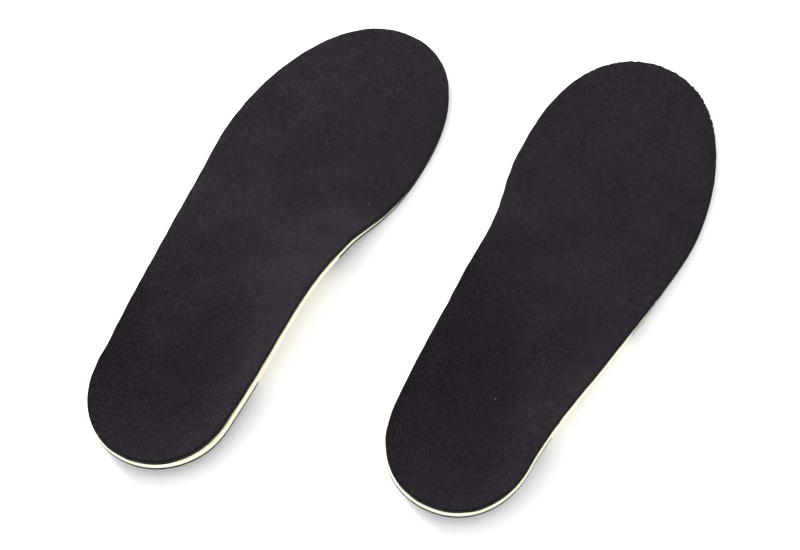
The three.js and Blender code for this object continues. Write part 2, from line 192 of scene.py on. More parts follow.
@dataclass(frozen=True)
class InsoleShape:
    """Plan and heights of one insole, in millimetres.

    The rows of values below give one number for each place that their curve passes.

    Attributes:
        length: from the back of the heel to the toe tip.
        heel_width: at the widest part of the heel.
        heel_round: where the rounded heel goes over into the straight sides.
        heel_taper: how much narrower the sides start behind that place.
        waist_width: at the narrowest place.
        arch_front_width: at the front of the arch.
        ball_width: at the ball.
        toe_round: how far the rounded front reaches back from the tip.
        heel_roundness: 2 is an ellipse, more is squarer.
        toe_roundness: the same at the toes.
        toe_hub: how far behind the tip the toe rows fan out.
        flex_behind_tip: how far behind the tip the toes bend.
        proud_at: where the side stands out most.
        side_at: where the heel's sides end.
        middle_x: x of the middle line, at the heel, waist, arch front, ball and tip.
        floors: thickness on the middle line, at the heel, arch, ball and in the flat front.
        inner_rims: height of the inner rim from the heel's back to the flat front.
        outer_rims: the same for the outer rim.
        steep: how the top rises to the rim at the heel and at the arch; 1 is a ramp.
        inner_bands: height of the upright side from the heel's back to the flat front.
        outer_bands: the same on the outer side.
        inner_proud: how far the side stands out, from the heel's back to the arch end.
        outer_proud: the same on the outer side, to the arch front.
        cover: thickness of the cover.
        glue: gap under the cover.
        blank_drop: from the top face down to the foam.
        lean: run of the flank for each millimetre of its height.
        least_foot: least height of the flank.
        least_run: least run of the flank.
        softness: how gently the flank runs out into the sole.
        rim_steps: how finely the rim is worked out.
    """

    length: float = 270.5
    heel_width: float = 65.8
    heel_round: float = 38
    heel_taper: float = 5.2
    waist_width: float = 76
    arch_front_width: float = 83.6
    ball_width: float = 95.8
    toe_round: float = 82.5
    heel_roundness: float = 2.1
    toe_roundness: float = 2.17
    toe_hub: float = 48
    flex_behind_tip: float = 84.5
    proud_at: float = 24
    side_at: float = 54
    middle_x: Row = (-1.8, -5.8, -7.6, -5.4, -0.4)
    floors: Row = (10.5, 10, 5.7, 4.5)
    inner_rims: Row = (15.5, 19.6, 23.4, 15.4, 6.5, 4.5)
    outer_rims: Row = (15.5, 19.6, 13.2, 7.6, 4.5)
    steep: Row = (2.8, 1.8)
    inner_bands: Row = (4.6, 6.1, 4.2, 3.2, 0.7)
    outer_bands: Row = (4.6, 5.4, 3.6, 1.8, 0.7)
    inner_proud: Row = (0, 0.9, 0.5, 0.2, 0)
    outer_proud: Row = (0, 0.2, 0)
    cover: float = 0.9
    glue: float = 0.25
    blank_drop: float = 3.5
    lean: float = 1.0
    least_foot: float = 0.15
    least_run: float = 0.4
    softness: float = 0.05
    rim_steps: int = 600

    @property
    def ball_at(self) -> float:
        """Where the insole is widest."""
        return self.length - self.toe_round

    @property
    def flex_at(self) -> float:
        """Where the line of the toe bend crosses x = 0."""
        return self.length - self.flex_behind_tip

    @property
    def flex(self) -> Line:
        """The line where the toes bend."""
        return Line(self.flex_at, 14.5)

    @property
    def foam_end(self) -> Line:
        """The front edge of the foam bed."""
        return Line(self.flex_at - 18.5, 25)

    @property
    def lining_start(self) -> Line:
        """The rear edge of the forefoot lining."""
        return Line(self.flex_at - 57.5, 8)

    def ahead(self, distance: float) -> float:
        """A place counted from the toe bend, towards the toes."""
        return self.flex_at + distance

    @property
    def waist_at(self) -> float:
        """Where the insole is narrowest."""
        return self.ahead(-83)

    @property
    def arch_at(self) -> float:
        """Where the arch is highest."""
        return self.ahead(-80)

    @property
    def arch_front_at(self) -> float:
        """Where the arch has come halfway down."""
        return self.ahead(-44)

    @property
    def arch_end_at(self) -> float:
        """Where the arch runs out."""
        return self.ahead(-14)

    @property
    def flat_at(self) -> float:
        """Where the flat front starts."""
        return self.ahead(18)

    def middle(self, y: np.ndarray) -> np.ndarray:
        """The middle line's x."""
        places = (self.heel_round, self.waist_at, self.arch_front_at, self.ball_at, self.length)
        return Curve.through(places, self.middle_x)(y)

    def thickness(self, y: np.ndarray) -> np.ndarray:
        """Height of the top face on the middle line."""
        places = (self.heel_round, self.arch_at, self.ahead(-20), self.flat_at)
        return Curve.through(places, self.floors)(y)

    def by_side(self, place: Place, inner: Curve, outer: Curve) -> np.ndarray:
        """Values of one curve on the inner side and of another on the outer side."""
        return np.where(place.inner, inner(place.row), outer(place.row))

    def rim_height(self, place: Place) -> np.ndarray:
        """Height of the top face at the rim of each point's row.

        Args:
            place: where the points lie.

        Returns:
            One height for each point.
        """
        front = (self.arch_front_at, self.arch_end_at, self.flat_at)
        inner = Curve.through((0, self.side_at, self.arch_at, *front), self.inner_rims)
        front = (self.arch_front_at, self.flat_at)
        outer = Curve.through((0, self.side_at, self.waist_at, *front), self.outer_rims)
        return self.by_side(place, inner, outer)

    def steepness(self, place: Place) -> np.ndarray:
        """How the top face rises to its rim: 1 is a ramp, more is a flat floor and a wall."""
        inner = Curve.through((self.heel_round, self.arch_at), self.steep)
        return np.where(place.inner, inner(place.row), self.steep[0])

    def band(self, place: Place) -> np.ndarray:
        """Height of the upright side under the cushion.

        Args:
            place: where the points lie.

        Returns:
            One height for each point.
        """
        front = (self.arch_front_at, self.flat_at)
        inner = Curve.through((0, self.side_at, self.arch_at, *front), self.inner_bands)
        outer = Curve.through((0, self.side_at, self.waist_at, *front), self.outer_bands)
        return self.by_side(place, inner, outer)

    def proud(self, place: Place) -> np.ndarray:
        """How far the side stands out past the cushion's edge.

        Args:
            place: where the points lie.

        Returns:
            One distance for each point.
        """
        front = (self.arch_front_at, self.arch_end_at)
        inner = Curve.through((0, self.proud_at, self.side_at, *front), self.inner_proud)
        outer = Curve.through((0, self.heel_round, self.arch_front_at), self.outer_proud)
        return self.by_side(place, inner, outer)

    def half_width(self, y: np.ndarray) -> np.ndarray:
        """Half the plan width at a distance from the heel's back.

        Args:
            y: distances from the heel's back.

        Returns:
            One half width for each.
        """
        side = Curve((
            (0, (self.heel_width - self.heel_taper) / 2),
            (self.heel_round, self.heel_width / 2),
            (self.waist_at, self.waist_width / 2),
            (self.arch_front_at, self.arch_front_width / 2),
            (self.ball_at, self.ball_width / 2),
        ))
        heel = self.heel_width / 2 * arc(1 - y / self.heel_round, self.heel_roundness)
        toe = self.ball_width / 2 * arc((y - self.ball_at) / self.toe_round, self.toe_roundness)
        return np.where(y < self.heel_round, heel, np.where(y > self.ball_at, toe, side(y)))

    def rim(self, pitch: float) -> np.ndarray:
        """The insole's outline.

        Args:
            pitch: distance from one point to the next.

        Returns:
            Plan points in order, anticlockwise from the back of the heel.
        """
        turn = np.linspace(0, math.pi, self.rim_steps)
        y = self.length * (1 - np.cos(turn)) / 2
        right = np.column_stack([self.middle(y) + self.half_width(y), y])
        left = np.column_stack([self.middle(y) - self.half_width(y), y])
        return respaced(np.vstack([right, left[-2:0:-1]]), pitch)

    def locate(self, plan: np.ndarray) -> Place:
        """Finds the row that each plan point lies on.

        Args:
            plan: (n, 2) points.

        Returns:
            The points' shares, rows, hubs, reaches and sides.
        """
        x, y = plan.T
        toe_hub = self.length - self.toe_hub
        hub = np.clip(y, self.heel_round, toe_hub)
        across = x - self.middle(np.where(y < self.heel_round, self.heel_round, hub))
        reach = self.half_width(hub)
        share, row = np.abs(across) / reach, hub.copy()

        heel = y < self.heel_round
        into = (self.heel_round - y[heel]) / self.heel_round
        wide = np.abs(across[heel]) / (self.heel_width / 2)
        power = self.heel_roundness
        share[heel] = (wide**power + into**power) ** (1 / power)
        safe = np.maximum(share[heel], 1e-6)
        row[heel] = self.heel_round * (1 - into / safe)
        reach[heel] = np.hypot(across[heel], self.heel_round - y[heel]) / safe

        toe = y > toe_hub
        rows = toe_hub + self.toe_hub * np.sin(np.linspace(0, math.pi / 2, self.rim_steps))
        for sign in (1, -1):
            mine = toe & (across * sign >= 0)
            side = self.middle(rows) - self.middle(np.array([toe_hub])) + sign * self.half_width(rows)
            angle = np.arctan2(rows - toe_hub, side * sign)
            radius = np.hypot(side, rows - toe_hub)
            own = np.arctan2(y[mine] - toe_hub, across[mine] * sign)
            reach[mine] = np.interp(own, angle, radius)
            row[mine] = np.interp(own, angle, rows)
            share[mine] = np.hypot(across[mine], y[mine] - toe_hub) / reach[mine]
        return Place(share, row, hub, reach, across >= 0)

    def top(self, plan: np.ndarray) -> np.ndarray:
        """Height of the top face over plan points.

        Args:
            plan: (n, 2) points.

        Returns:
            One height for each point.
        """
        place = self.locate(plan)
        floor = self.thickness(place.hub)
        rise = self.rim_height(place) - floor
        return floor + rise * np.minimum(place.share, 1) ** self.steepness(place)

    def flank(self, place: Place) -> tuple[np.ndarray, np.ndarray]:
        """Height of the flank's upper end, and its run.

        Args:
            place: where the points lie.

        Returns:
            Both, for each point.
        """
        side = self.rim_height(place) - self.blank_drop - self.band(place)
        foot = np.maximum(side, self.least_foot)
        return foot, np.maximum(foot * self.lean, self.least_run)

    def underside(self, plan: np.ndarray) -> np.ndarray:
        """Height of the insole's outer face seen from below."""
        return self.skin(plan, 0)

    def skin(self, plan: np.ndarray, depth: float, lip: float = math.inf) -> np.ndarray:
        """Height of the inner face of a skin on the flank and the sole.

        Args:
            plan: (n, 2) points.
            depth: the skin's thickness, square to its face.
            lip: the most that it stands over the flank's upper end.

        Returns:
            One height for each point.
        """
        place = self.locate(plan)
        foot, run = self.flank(place)
        into = place.reach * (1 - place.share) + self.proud(place)
        fall = 1 - into / run
        soft = np.hypot(fall, self.softness)
        slope = foot / run * (1 + fall / soft) / 2
        outer = foot * (fall + soft) / 2
        return np.minimum(outer + depth * np.hypot(1, slope), foot + lip)


def arc(share: np.ndarray, power: float) -> np.ndarray:
    """A rounded end: 1 where share is 0 or less, falling to 0 where it is 1."""
    return np.maximum(0, 1 - np.maximum(share, 0) ** power) ** (1 / power)


def respaced(points: np.ndarray, pitch: float) -> np.ndarray:
    """The same closed outline with even steps.

    Args:
        points: (n, 2) points in order, the first not repeated at the end.
        pitch: the step wanted.

    Returns:
        (m, 2) points whose steps are as near to the pitch as fits round the outline.
    """
    closed = np.vstack([points, points[:1]])
    far = np.concatenate([[0], np.cumsum(np.linalg.norm(np.diff(closed, axis=0), axis=1))])
    at = np.linspace(0, far[-1], max(8, round(far[-1] / pitch)), endpoint=False)
    return np.column_stack([np.interp(at, far, closed[:, 0]), np.interp(at, far, closed[:, 1])])


def outward(outline: np.ndarray) -> np.ndarray:
    """Unit vectors that point out of a closed outline, one for each of its points.

    Args:
        outline: (n, 2) points, anticlockwise.

    Returns:
        (n, 2) unit vectors.
    """
    along = np.roll(outline, -1, axis=0) - np.roll(outline, 1, axis=0)
    along /= np.maximum(np.linalg.norm(along, axis=1, keepdims=True), 1e-9)
    return np.column_stack([along[:, 1], -along[:, 0]])


def inside(points: np.ndarray, outline: np.ndarray) -> np.ndarray:
    """Whether each point lies inside a closed outline.

    Args:
        points: (n, 2) points.
        outline: (m, 2) corners in order.

    Returns:
        n truth values.
    """
    x, y = points[:, :1], points[:, 1:]
    a, b = outline, np.roll(outline, -1, axis=0)
    spans = (a[:, 1] > y) != (b[:, 1] > y)
    rise = np.where(b[:, 1] == a[:, 1], 1, b[:, 1] - a[:, 1])
    crosses = a[:, 0] + (y - a[:, 1]) * (b[:, 0] - a[:, 0]) / rise > x
    return np.count_nonzero(spans & crosses, axis=1) % 2 == 1


def clear_of(points: np.ndarray, others: np.ndarray, gap: float) -> np.ndarray:
    """Whether each point is at least a gap away from all the others.

    Args:
        points: (n, 2) points.
        others: (m, 2) points.
        gap: the least distance.

    Returns:
        n truth values.
    """
    free = np.ones(len(points), bool)
    for some in np.array_split(others, max(1, len(others) // 256)):
        away = np.linalg.norm(points[:, None] - some[None], axis=2)
        free &= away.min(axis=1) >= gap
    return free


@dataclass(frozen=True)
class Ripple:
    """A smooth random field over the plan, the sum of plane waves with seeded directions.

    Attributes:
        seed: picks the waves.
        wavelength: typical distance from crest to crest, in millimetres.
        amount: root mean square of the field, in millimetres.
    """

    seed: int
    wavelength: float
    amount: float
    waves: int = 28

    def __call__(self, plan: np.ndarray) -> np.ndarray:
        """The field over plan points.

        Args:
            plan: (n, 2) points.

        Returns:
            One value for each point.
        """
        draw = np.random.default_rng(self.seed)
        angle = draw.uniform(0, 2 * math.pi, self.waves)
        length = self.wavelength * draw.uniform(0.7, 1.5, self.waves)
        phase = draw.uniform(0, 2 * math.pi, self.waves)
        wave = 2 * math.pi / length * np.array([np.cos(angle), np.sin(angle)])
        return self.amount * math.sqrt(2 / self.waves) * np.cos(plan @ wave + phase).sum(axis=1)


# ---------------------------------------------------------------------------------------------
# Meshes
# ---------------------------------------------------------------------------------------------


@dataclass(frozen=True)
class Placement:
    """Where one insole lies among the pair, worked out from the frame.

    Attributes:
        foot: which insole it is.
        turn: how far its toes turn outwards, in degrees, clockwise for the left insole.
        offset: where the back of its heel lies, in metres.
    """

    foot: Foot
    turn: float
    offset: tuple[float, float]

    @classmethod
    def from_frame(cls, foot: Foot, shape: InsoleShape, turn: float = 0.2) -> "Placement":
        """Fits an insole to the box that its nodes fill.

        Args:
            foot: which insole.
            shape: its shape.
            turn: how far its toes turn outwards, in degrees.

        Returns:
            The placement whose turned outline fills the nodes' box.
        """
        corners = [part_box(name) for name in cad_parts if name.startswith(foot.value)]
        low = np.min([corner[0] for corner in corners], axis=0)
        high = np.max([corner[1] for corner in corners], axis=0)
        loose = cls(foot, turn, (0.0, 0.0))
        rim = shape.rim(1.0)
        outline = loose.to_row(np.column_stack([rim, np.zeros(len(rim))]))
        middle = (outline.min(axis=0) + outline.max(axis=0)) / 2
        x, y = ((low + high) / 2 - middle)[:2]
        return cls(foot, turn, (float(x), float(y)))

    def to_row(self, points: np.ndarray) -> np.ndarray:
        """Points of the insole's own frame, in millimetres, as points of the row in metres.

        Args:
            points: (n, 3) points of the insole's own frame.

        Returns:
            (n, 3) points of the row.
        """
        angle = math.radians(-self.turn) * self.foot.sign
        x, y = points[:, 0] * self.foot.sign, points[:, 1]
        return np.column_stack([
            (x * math.cos(angle) - y * math.sin(angle)) * MM + self.offset[0],
            (x * math.sin(angle) + y * math.cos(angle)) * MM + self.offset[1],
            points[:, 2] * MM,
        ])


@dataclass(frozen=True)
class Boundary:
    """A closed edge of a solid: rings of points from its top face down to its bottom face."""

    rings: tuple[np.ndarray, ...]

    @classmethod
    def swept(cls, outline: np.ndarray, levels: list[Level]) -> "Boundary":
        """A boundary whose rings run beside an outline.

        Args:
            outline: (n, 2) points, anticlockwise round the outside or clockwise round a hole.
            levels: for each ring, how far it stands out and a function for its height.

        Returns:
            The boundary.
        """
        away = outward(outline)
        rings = []
        for out, height in levels:
            plan = outline + away * np.broadcast_to(out, len(outline))[:, None]
            rings.append(np.column_stack([plan, height(plan)]))
        return cls(tuple(rings))


@dataclass(frozen=True)
class RoundedEdge:
    """The profile of a cut edge, rounded above and below.

    Attributes:
        above: radius at the top face, in millimetres.
        below: radius at the bottom face, in millimetres.
        steps: how many steps each rounding takes.
    """

    above: float
    below: float
    steps: int = 4

    def levels(
        self,
        top: Heights,
        bottom: Heights,
        out: np.ndarray | float = 0.0,
    ) -> list[Level]:
        """The levels of a boundary between two faces.

        Args:
            top: height of the top face.
            bottom: height of the bottom face.
            out: how far the edge stands out from its outline.

        Returns:
            Levels for Boundary.swept, from the top face down.
        """
        made: list[Level] = []
        for step in range(self.steps + 1):
            angle = math.pi / 2 * step / self.steps
            drop = self.above * (1 - math.cos(angle))
            made.append((out - self.above * (1 - math.sin(angle)), lowered(top, drop)))
        for step in reversed(range(self.steps + 1)):
            angle = math.pi / 2 * step / self.steps
            lift = self.below * (1 - math.cos(angle))
            made.append((out - self.below * (1 - math.sin(angle)), lowered(bottom, -lift)))
        return made


def lowered(height: Heights, drop: float) -> Heights:
    """The same face, lower by a drop."""
    return lambda plan: height(plan) - drop


@dataclass
class PlanSolid:
    """A closed solid over a plan region, between a top and a bottom face.

    Attributes:
        top: height of the top face.
        bottom: height of the bottom face.
        boundaries: the outer edge first, then the holes' edges.
        pitch: distance between the points inside the faces, in millimetres.
        extra: plan points that the faces keep, such as both sides of a step.
        edge_room: how far inner points keep from the edges, in pitches.
        extra_room: how far the extra points keep from the edges, in pitches.
        inner_room: how far inner points keep from the extra ones, in pitches.
    """

    top: Heights
    bottom: Heights
    boundaries: list[Boundary]
    pitch: float
    extra: np.ndarray = field(default_factory=lambda: np.zeros((0, 2)))
    edge_room: float = 0.75
    extra_room: float = 0.35
    inner_room: float = 0.55

    @classmethod
    def slab(
        cls,
        top: Heights,
        bottom: Heights,
        outline: np.ndarray,
        edge: RoundedEdge,
        pitch: float,
        extra: np.ndarray | None = None,
    ) -> "PlanSolid":
        """A solid without holes, whose edge is rounded all round.

        Args:
            top: height of the top face.
            bottom: height of the bottom face.
            outline: its plan.
            edge: how its edge is rounded.
            pitch: distance between the points inside the faces.
            extra: plan points that the faces keep.

        Returns:
            The solid.
        """
        boundary = Boundary.swept(outline, edge.levels(top, bottom))
        kept = np.zeros((0, 2)) if extra is None else extra
        return cls(top, bottom, [boundary], pitch, kept)

    def interior(self) -> np.ndarray:
        """Evenly spread plan points inside the faces, clear of the edges and of the extra ones.

        Returns:
            (n, 2) points.
        """
        ends = [ring for boundary in self.boundaries for ring in (boundary.rings[0], boundary.rings[-1])]
        edge = np.vstack(ends)[:, :2]
        low, high = edge.min(axis=0), edge.max(axis=0)
        rows = []
        for i, y in enumerate(np.arange(low[1], high[1], self.pitch * math.sqrt(3) / 2)):
            x = np.arange(low[0] + (i % 2) * self.pitch / 2, high[0], self.pitch)
            rows.append(np.column_stack([x, np.full(len(x), y)]))
        points = np.vstack(rows)
        points = points[self.contains(points)]
        points = points[clear_of(points, edge, self.edge_room * self.pitch)]
        if len(self.extra) == 0:
            return points
        kept = self.extra[self.contains(self.extra)]
        kept = kept[clear_of(kept, edge, self.extra_room * self.pitch)]
        return np.vstack([kept, points[clear_of(points, kept, self.inner_room * self.pitch)]])

    def contains(self, plan: np.ndarray) -> np.ndarray:
        """Whether plan points lie in the region.

        Args:
            plan: (n, 2) points.

        Returns:
            n truth values.
        """
        outer, *holes = [boundary.rings[0][:, :2] for boundary in self.boundaries]
        found = inside(plan, outer)
        for hole in holes:
            found &= ~inside(plan, hole)
        return found

    def triangles(self, inner: np.ndarray) -> np.ndarray:
        """Triangles over the region.

        Args:
            inner: plan points inside it.

        Returns:
            (n, 3) corner numbers, counted round the edges first and then over the inner points.
        """
        tops = [boundary.rings[0][:, :2] for boundary in self.boundaries]
        plan = np.vstack([*tops, inner])
        edges, start = [], 0
        for ring in tops:
            count = len(ring)
            edges += [(start + i, start + (i + 1) % count) for i in range(count)]
            start += count
        corners = [Vector(point) for point in plan]
        found = np.array(delaunay_2d_cdt(corners, edges, [], 0, SAME_POINT)[2])
        return found[self.contains(plan[found].mean(axis=1))]

    def build(self) -> tuple[np.ndarray, list[tuple[int, ...]], np.ndarray]:
        """Makes the solid.

        Returns:
            Its corners in millimetres, its faces, and for each corner 1 on a side and 0 elsewhere.
        """
        inner = self.interior()
        triangles = self.triangles(inner)
        tops = [boundary.rings[0] for boundary in self.boundaries]
        bottoms = [boundary.rings[-1] for boundary in self.boundaries]
        upper = np.vstack([*tops, np.column_stack([inner, self.top(inner)])])
        lower = np.vstack([*bottoms, np.column_stack([inner, self.bottom(inner)])])
        vertices = [upper, lower]
        faces = [tuple(triangle) for triangle in triangles.tolist()]
        faces += [tuple(triangle) for triangle in (triangles[:, ::-1] + len(upper)).tolist()]
        made, start = 2 * len(upper), 0
        for boundary in self.boundaries:
            count = len(boundary.rings[0])
            between = boundary.rings[1:-1]
            vertices += between
            starts = [start, *(made + count * i for i in range(len(between))), start + len(upper)]
            faces += band_faces(starts, count)
            made += count * len(between)
            start += count
        points = np.vstack(vertices)
        wall = np.zeros(len(points))
        wall[2 * len(upper):] = 1
        return points, faces, wall


def band_faces(starts: list[int], count: int) -> list[tuple[int, ...]]:
    """Faces that join closed rings of corners, from the top one down.

    Args:
        starts: the number of each ring's first corner.
        count: how many corners each ring has.

    Returns:
        The faces.
    """
    return [
        (above + (i + 1) % count, above + i, below + i, below + (i + 1) % count)
        for above, below in zip(starts, starts[1:])
        for i in range(count)
    ]


def make_piece(
    name: str,
    points: np.ndarray,
    faces: list[tuple[int, ...]],
    wall: np.ndarray,
    placement: Placement,
) -> bpy.types.Object:
    """A Blender object of a mesh given in the insole's own frame.

    The mesh keeps each corner's own place, in millimetres, as the attribute "place", so that a
    finish stays where it is on the piece.

    Args:
        name: the piece's name.
        points: its corners in millimetres.
        faces: its faces, anticlockwise from outside.
        wall: 1 at the corners on its sides, kept as the attribute "wall".
        placement: where the insole lies.

    Returns:
        The object, in place in the row.
    """
    mesh = bpy.data.meshes.new(name)
    if placement.foot is Foot.RIGHT:
        faces = [face[::-1] for face in faces]
    mesh.from_pydata(placement.to_row(points).tolist(), [], faces)
    place = mesh.attributes.new("place", "FLOAT_VECTOR", "POINT")
    place.data.foreach_set("vector", points.astype(np.float32).ravel())
    side = mesh.attributes.new("wall", "FLOAT", "POINT")
    side.data.foreach_set("value", wall.astype(np.float32))
    mesh.shade_smooth()
    mesh.set_sharp_from_angle(angle=math.radians(SHARP_EDGE))
    mesh.update()
    piece = bpy.data.objects.new(name, mesh)
    bpy.context.scene.collection.objects.link(piece)
    return piece


# ---------------------------------------------------------------------------------------------
# Finishes
# ---------------------------------------------------------------------------------------------


class NodeBook:
    """A material's node tree, with short calls for the nodes that the finishes use."""

    def __init__(self, name: str) -> None:
        """Starts a material with a Principled shader.

        Args:
            name: the material's name.
        """
        self.material = bpy.data.materials.new(name)
        self.material.use_nodes = True
        self.tree = self.material.node_tree
        self.tree.nodes.clear()
        self.shader = self.tree.nodes.new("ShaderNodeBsdfPrincipled")
        output = self.tree.nodes.new("ShaderNodeOutputMaterial")
        self.tree.links.new(self.shader.outputs["BSDF"], output.inputs["Surface"])

    def set(self, **values: object) -> None:
        """Sets the shader's own sockets, with an underscore for each blank in a name."""
        for name, value in values.items():
            self.shader.inputs[name.replace("_", " ")].default_value = value

    def link(self, value: Socket, socket: str) -> None:
        """Feeds one of the shader's sockets."""
        self.tree.links.new(value, self.shader.inputs[socket])

    def fill(self, socket: Socket, value: object) -> None:
        """Links a socket to another, or sets it to a plain value.

        Args:
            socket: the socket to feed.
            value: a socket or a plain value.
        """
        if isinstance(value, Socket):
            self.tree.links.new(value, socket)
        else:
            socket.default_value = value

    def attribute(self, name: str, output: str) -> Socket:
        """One of the mesh's own attributes.

        Args:
            name: the attribute's name.
            output: which output of its node to read.

        Returns:
            The attribute's value.
        """
        node = self.tree.nodes.new("ShaderNodeAttribute")
        node.attribute_name = name
        return node.outputs[output]

    def place(self) -> Socket:
        """The corner places, in millimetres."""
        return self.attribute("place", "Vector")

    def wall(self) -> Socket:
        """1 on the piece's sides and 0 elsewhere."""
        return self.attribute("wall", "Fac")

    def turned(self, vector: Socket, degrees: float, scale: Colour = (1, 1, 1)) -> Socket:
        """A vector turned about z and then scaled.

        Args:
            vector: the vector.
            degrees: how far it is turned.
            scale: what each of its parts is multiplied by.

        Returns:
            The new vector.
        """
        node = self.tree.nodes.new("ShaderNodeMapping")
        node.vector_type = "POINT"
        self.fill(node.inputs["Vector"], vector)
        node.inputs["Rotation"].default_value = (0, 0, math.radians(degrees))
        scaled = self.tree.nodes.new("ShaderNodeVectorMath")
        scaled.operation = "MULTIPLY"
        self.fill(scaled.inputs[0], node.outputs["Vector"])
        scaled.inputs[1].default_value = scale
        return scaled.outputs["Vector"]

    def axis(self, vector: Socket, index: int) -> Socket:
        """One part of a vector.

        Args:
            vector: the vector.
            index: 0 for x, 1 for y and 2 for z.

        Returns:
            The part.
        """
        node = self.tree.nodes.new("ShaderNodeSeparateXYZ")
        self.fill(node.inputs["Vector"], vector)
        return node.outputs[index]

    def math(self, operation: str, a: object, b: object = 0.0) -> Socket:
        """One step of arithmetic.

        Args:
            operation: Blender's name for it.
            a: first value or socket.
            b: second value or socket.

        Returns:
            The result.
        """
        node = self.tree.nodes.new("ShaderNodeMath")
        node.operation = operation
        for socket, value in zip(node.inputs, (a, b)):
            self.fill(socket, value)
        return node.outputs["Value"]

    def total(self, *parts: tuple[Socket, float]) -> Socket:
        """The sum of some sockets, each times its weight.

        Args:
            parts: the sockets and their weights.

        Returns:
            The sum.
        """
        whole: object = 0.0
        for socket, weight in parts:
            whole = self.math("ADD", whole, self.math("MULTIPLY", socket, weight))
        return whole

    def noise(
        self,
        vector: Socket,
        scale: float,
        detail: float = 2,
        roughness: float = 0.5,
    ) -> Socket:
        """Cloudy noise from 0 to 1.

        Args:
            vector: where to read it.
            scale: clouds for each millimetre.
            detail: how many finer layers it has.
            roughness: how strong the finer layers are.

        Returns:
            The noise's value.
        """
        node = self.tree.nodes.new("ShaderNodeTexNoise")
        self.fill(node.inputs["Vector"], vector)
        node.inputs["Scale"].default_value = scale
        node.inputs["Detail"].default_value = detail
        node.inputs["Roughness"].default_value = roughness
        return node.outputs["Fac"]

    def cells(self, vector: Socket, scale: float) -> Socket:
        """Distance to the nearest of scattered points.

        Args:
            vector: where to read it.
            scale: points for each millimetre.

        Returns:
            The distance, in cells.
        """
        node = self.tree.nodes.new("ShaderNodeTexVoronoi")
        self.fill(node.inputs["Vector"], vector)
        node.inputs["Scale"].default_value = scale
        return node.outputs["Distance"]

    def ramp(
        self,
        value: Socket,
        low: float,
        high: float,
        to_low: float = 0,
        to_high: float = 1,
    ) -> Socket:
        """A value mapped smoothly from one range to another, and held at its ends.

        Args:
            value: the value.
            low: where its range starts.
            high: where its range ends.
            to_low: what it becomes at the start.
            to_high: what it becomes at the end.

        Returns:
            The new value.
        """
        node = self.tree.nodes.new("ShaderNodeMapRange")
        node.interpolation_type = "SMOOTHSTEP"
        self.fill(node.inputs["Value"], value)
        ends = {"From Min": low, "From Max": high, "To Min": to_low, "To Max": to_high}
        for socket, number in ends.items():
            node.inputs[socket].default_value = number
        return node.outputs["Result"]

    def mix(self, share: object, a: object, b: object) -> Socket:
        """A colour between two.

        Args:
            share: 0 gives the first colour and 1 the second.
            a: first colour or socket.
            b: second colour or socket.

        Returns:
            The colour.
        """
        node = self.tree.nodes.new("ShaderNodeMix")
        node.data_type = "RGBA"
        self.fill(node.inputs["Factor"], share)
        for name, value in (("A", a), ("B", b)):
            socket = next(s for s in node.inputs if s.name == name and s.type == "RGBA")
            self.fill(socket, (*value, 1) if isinstance(value, tuple) else value)
        return next(s for s in node.outputs if s.type == "RGBA")

    def bump(self, height: Socket, depth: float, strength: float = 1) -> None:
        """Feeds the shader's normal from a height.

        Args:
            height: the height, from 0 to 1.
            depth: what 1 stands for, in millimetres.
            strength: how much of the bump shows.
        """
        node = self.tree.nodes.new("ShaderNodeBump")
        node.inputs["Strength"].default_value = strength
        node.inputs["Distance"].default_value = depth * MM
        self.fill(node.inputs["Height"], height)
        self.link(node.outputs["Normal"], "Normal")


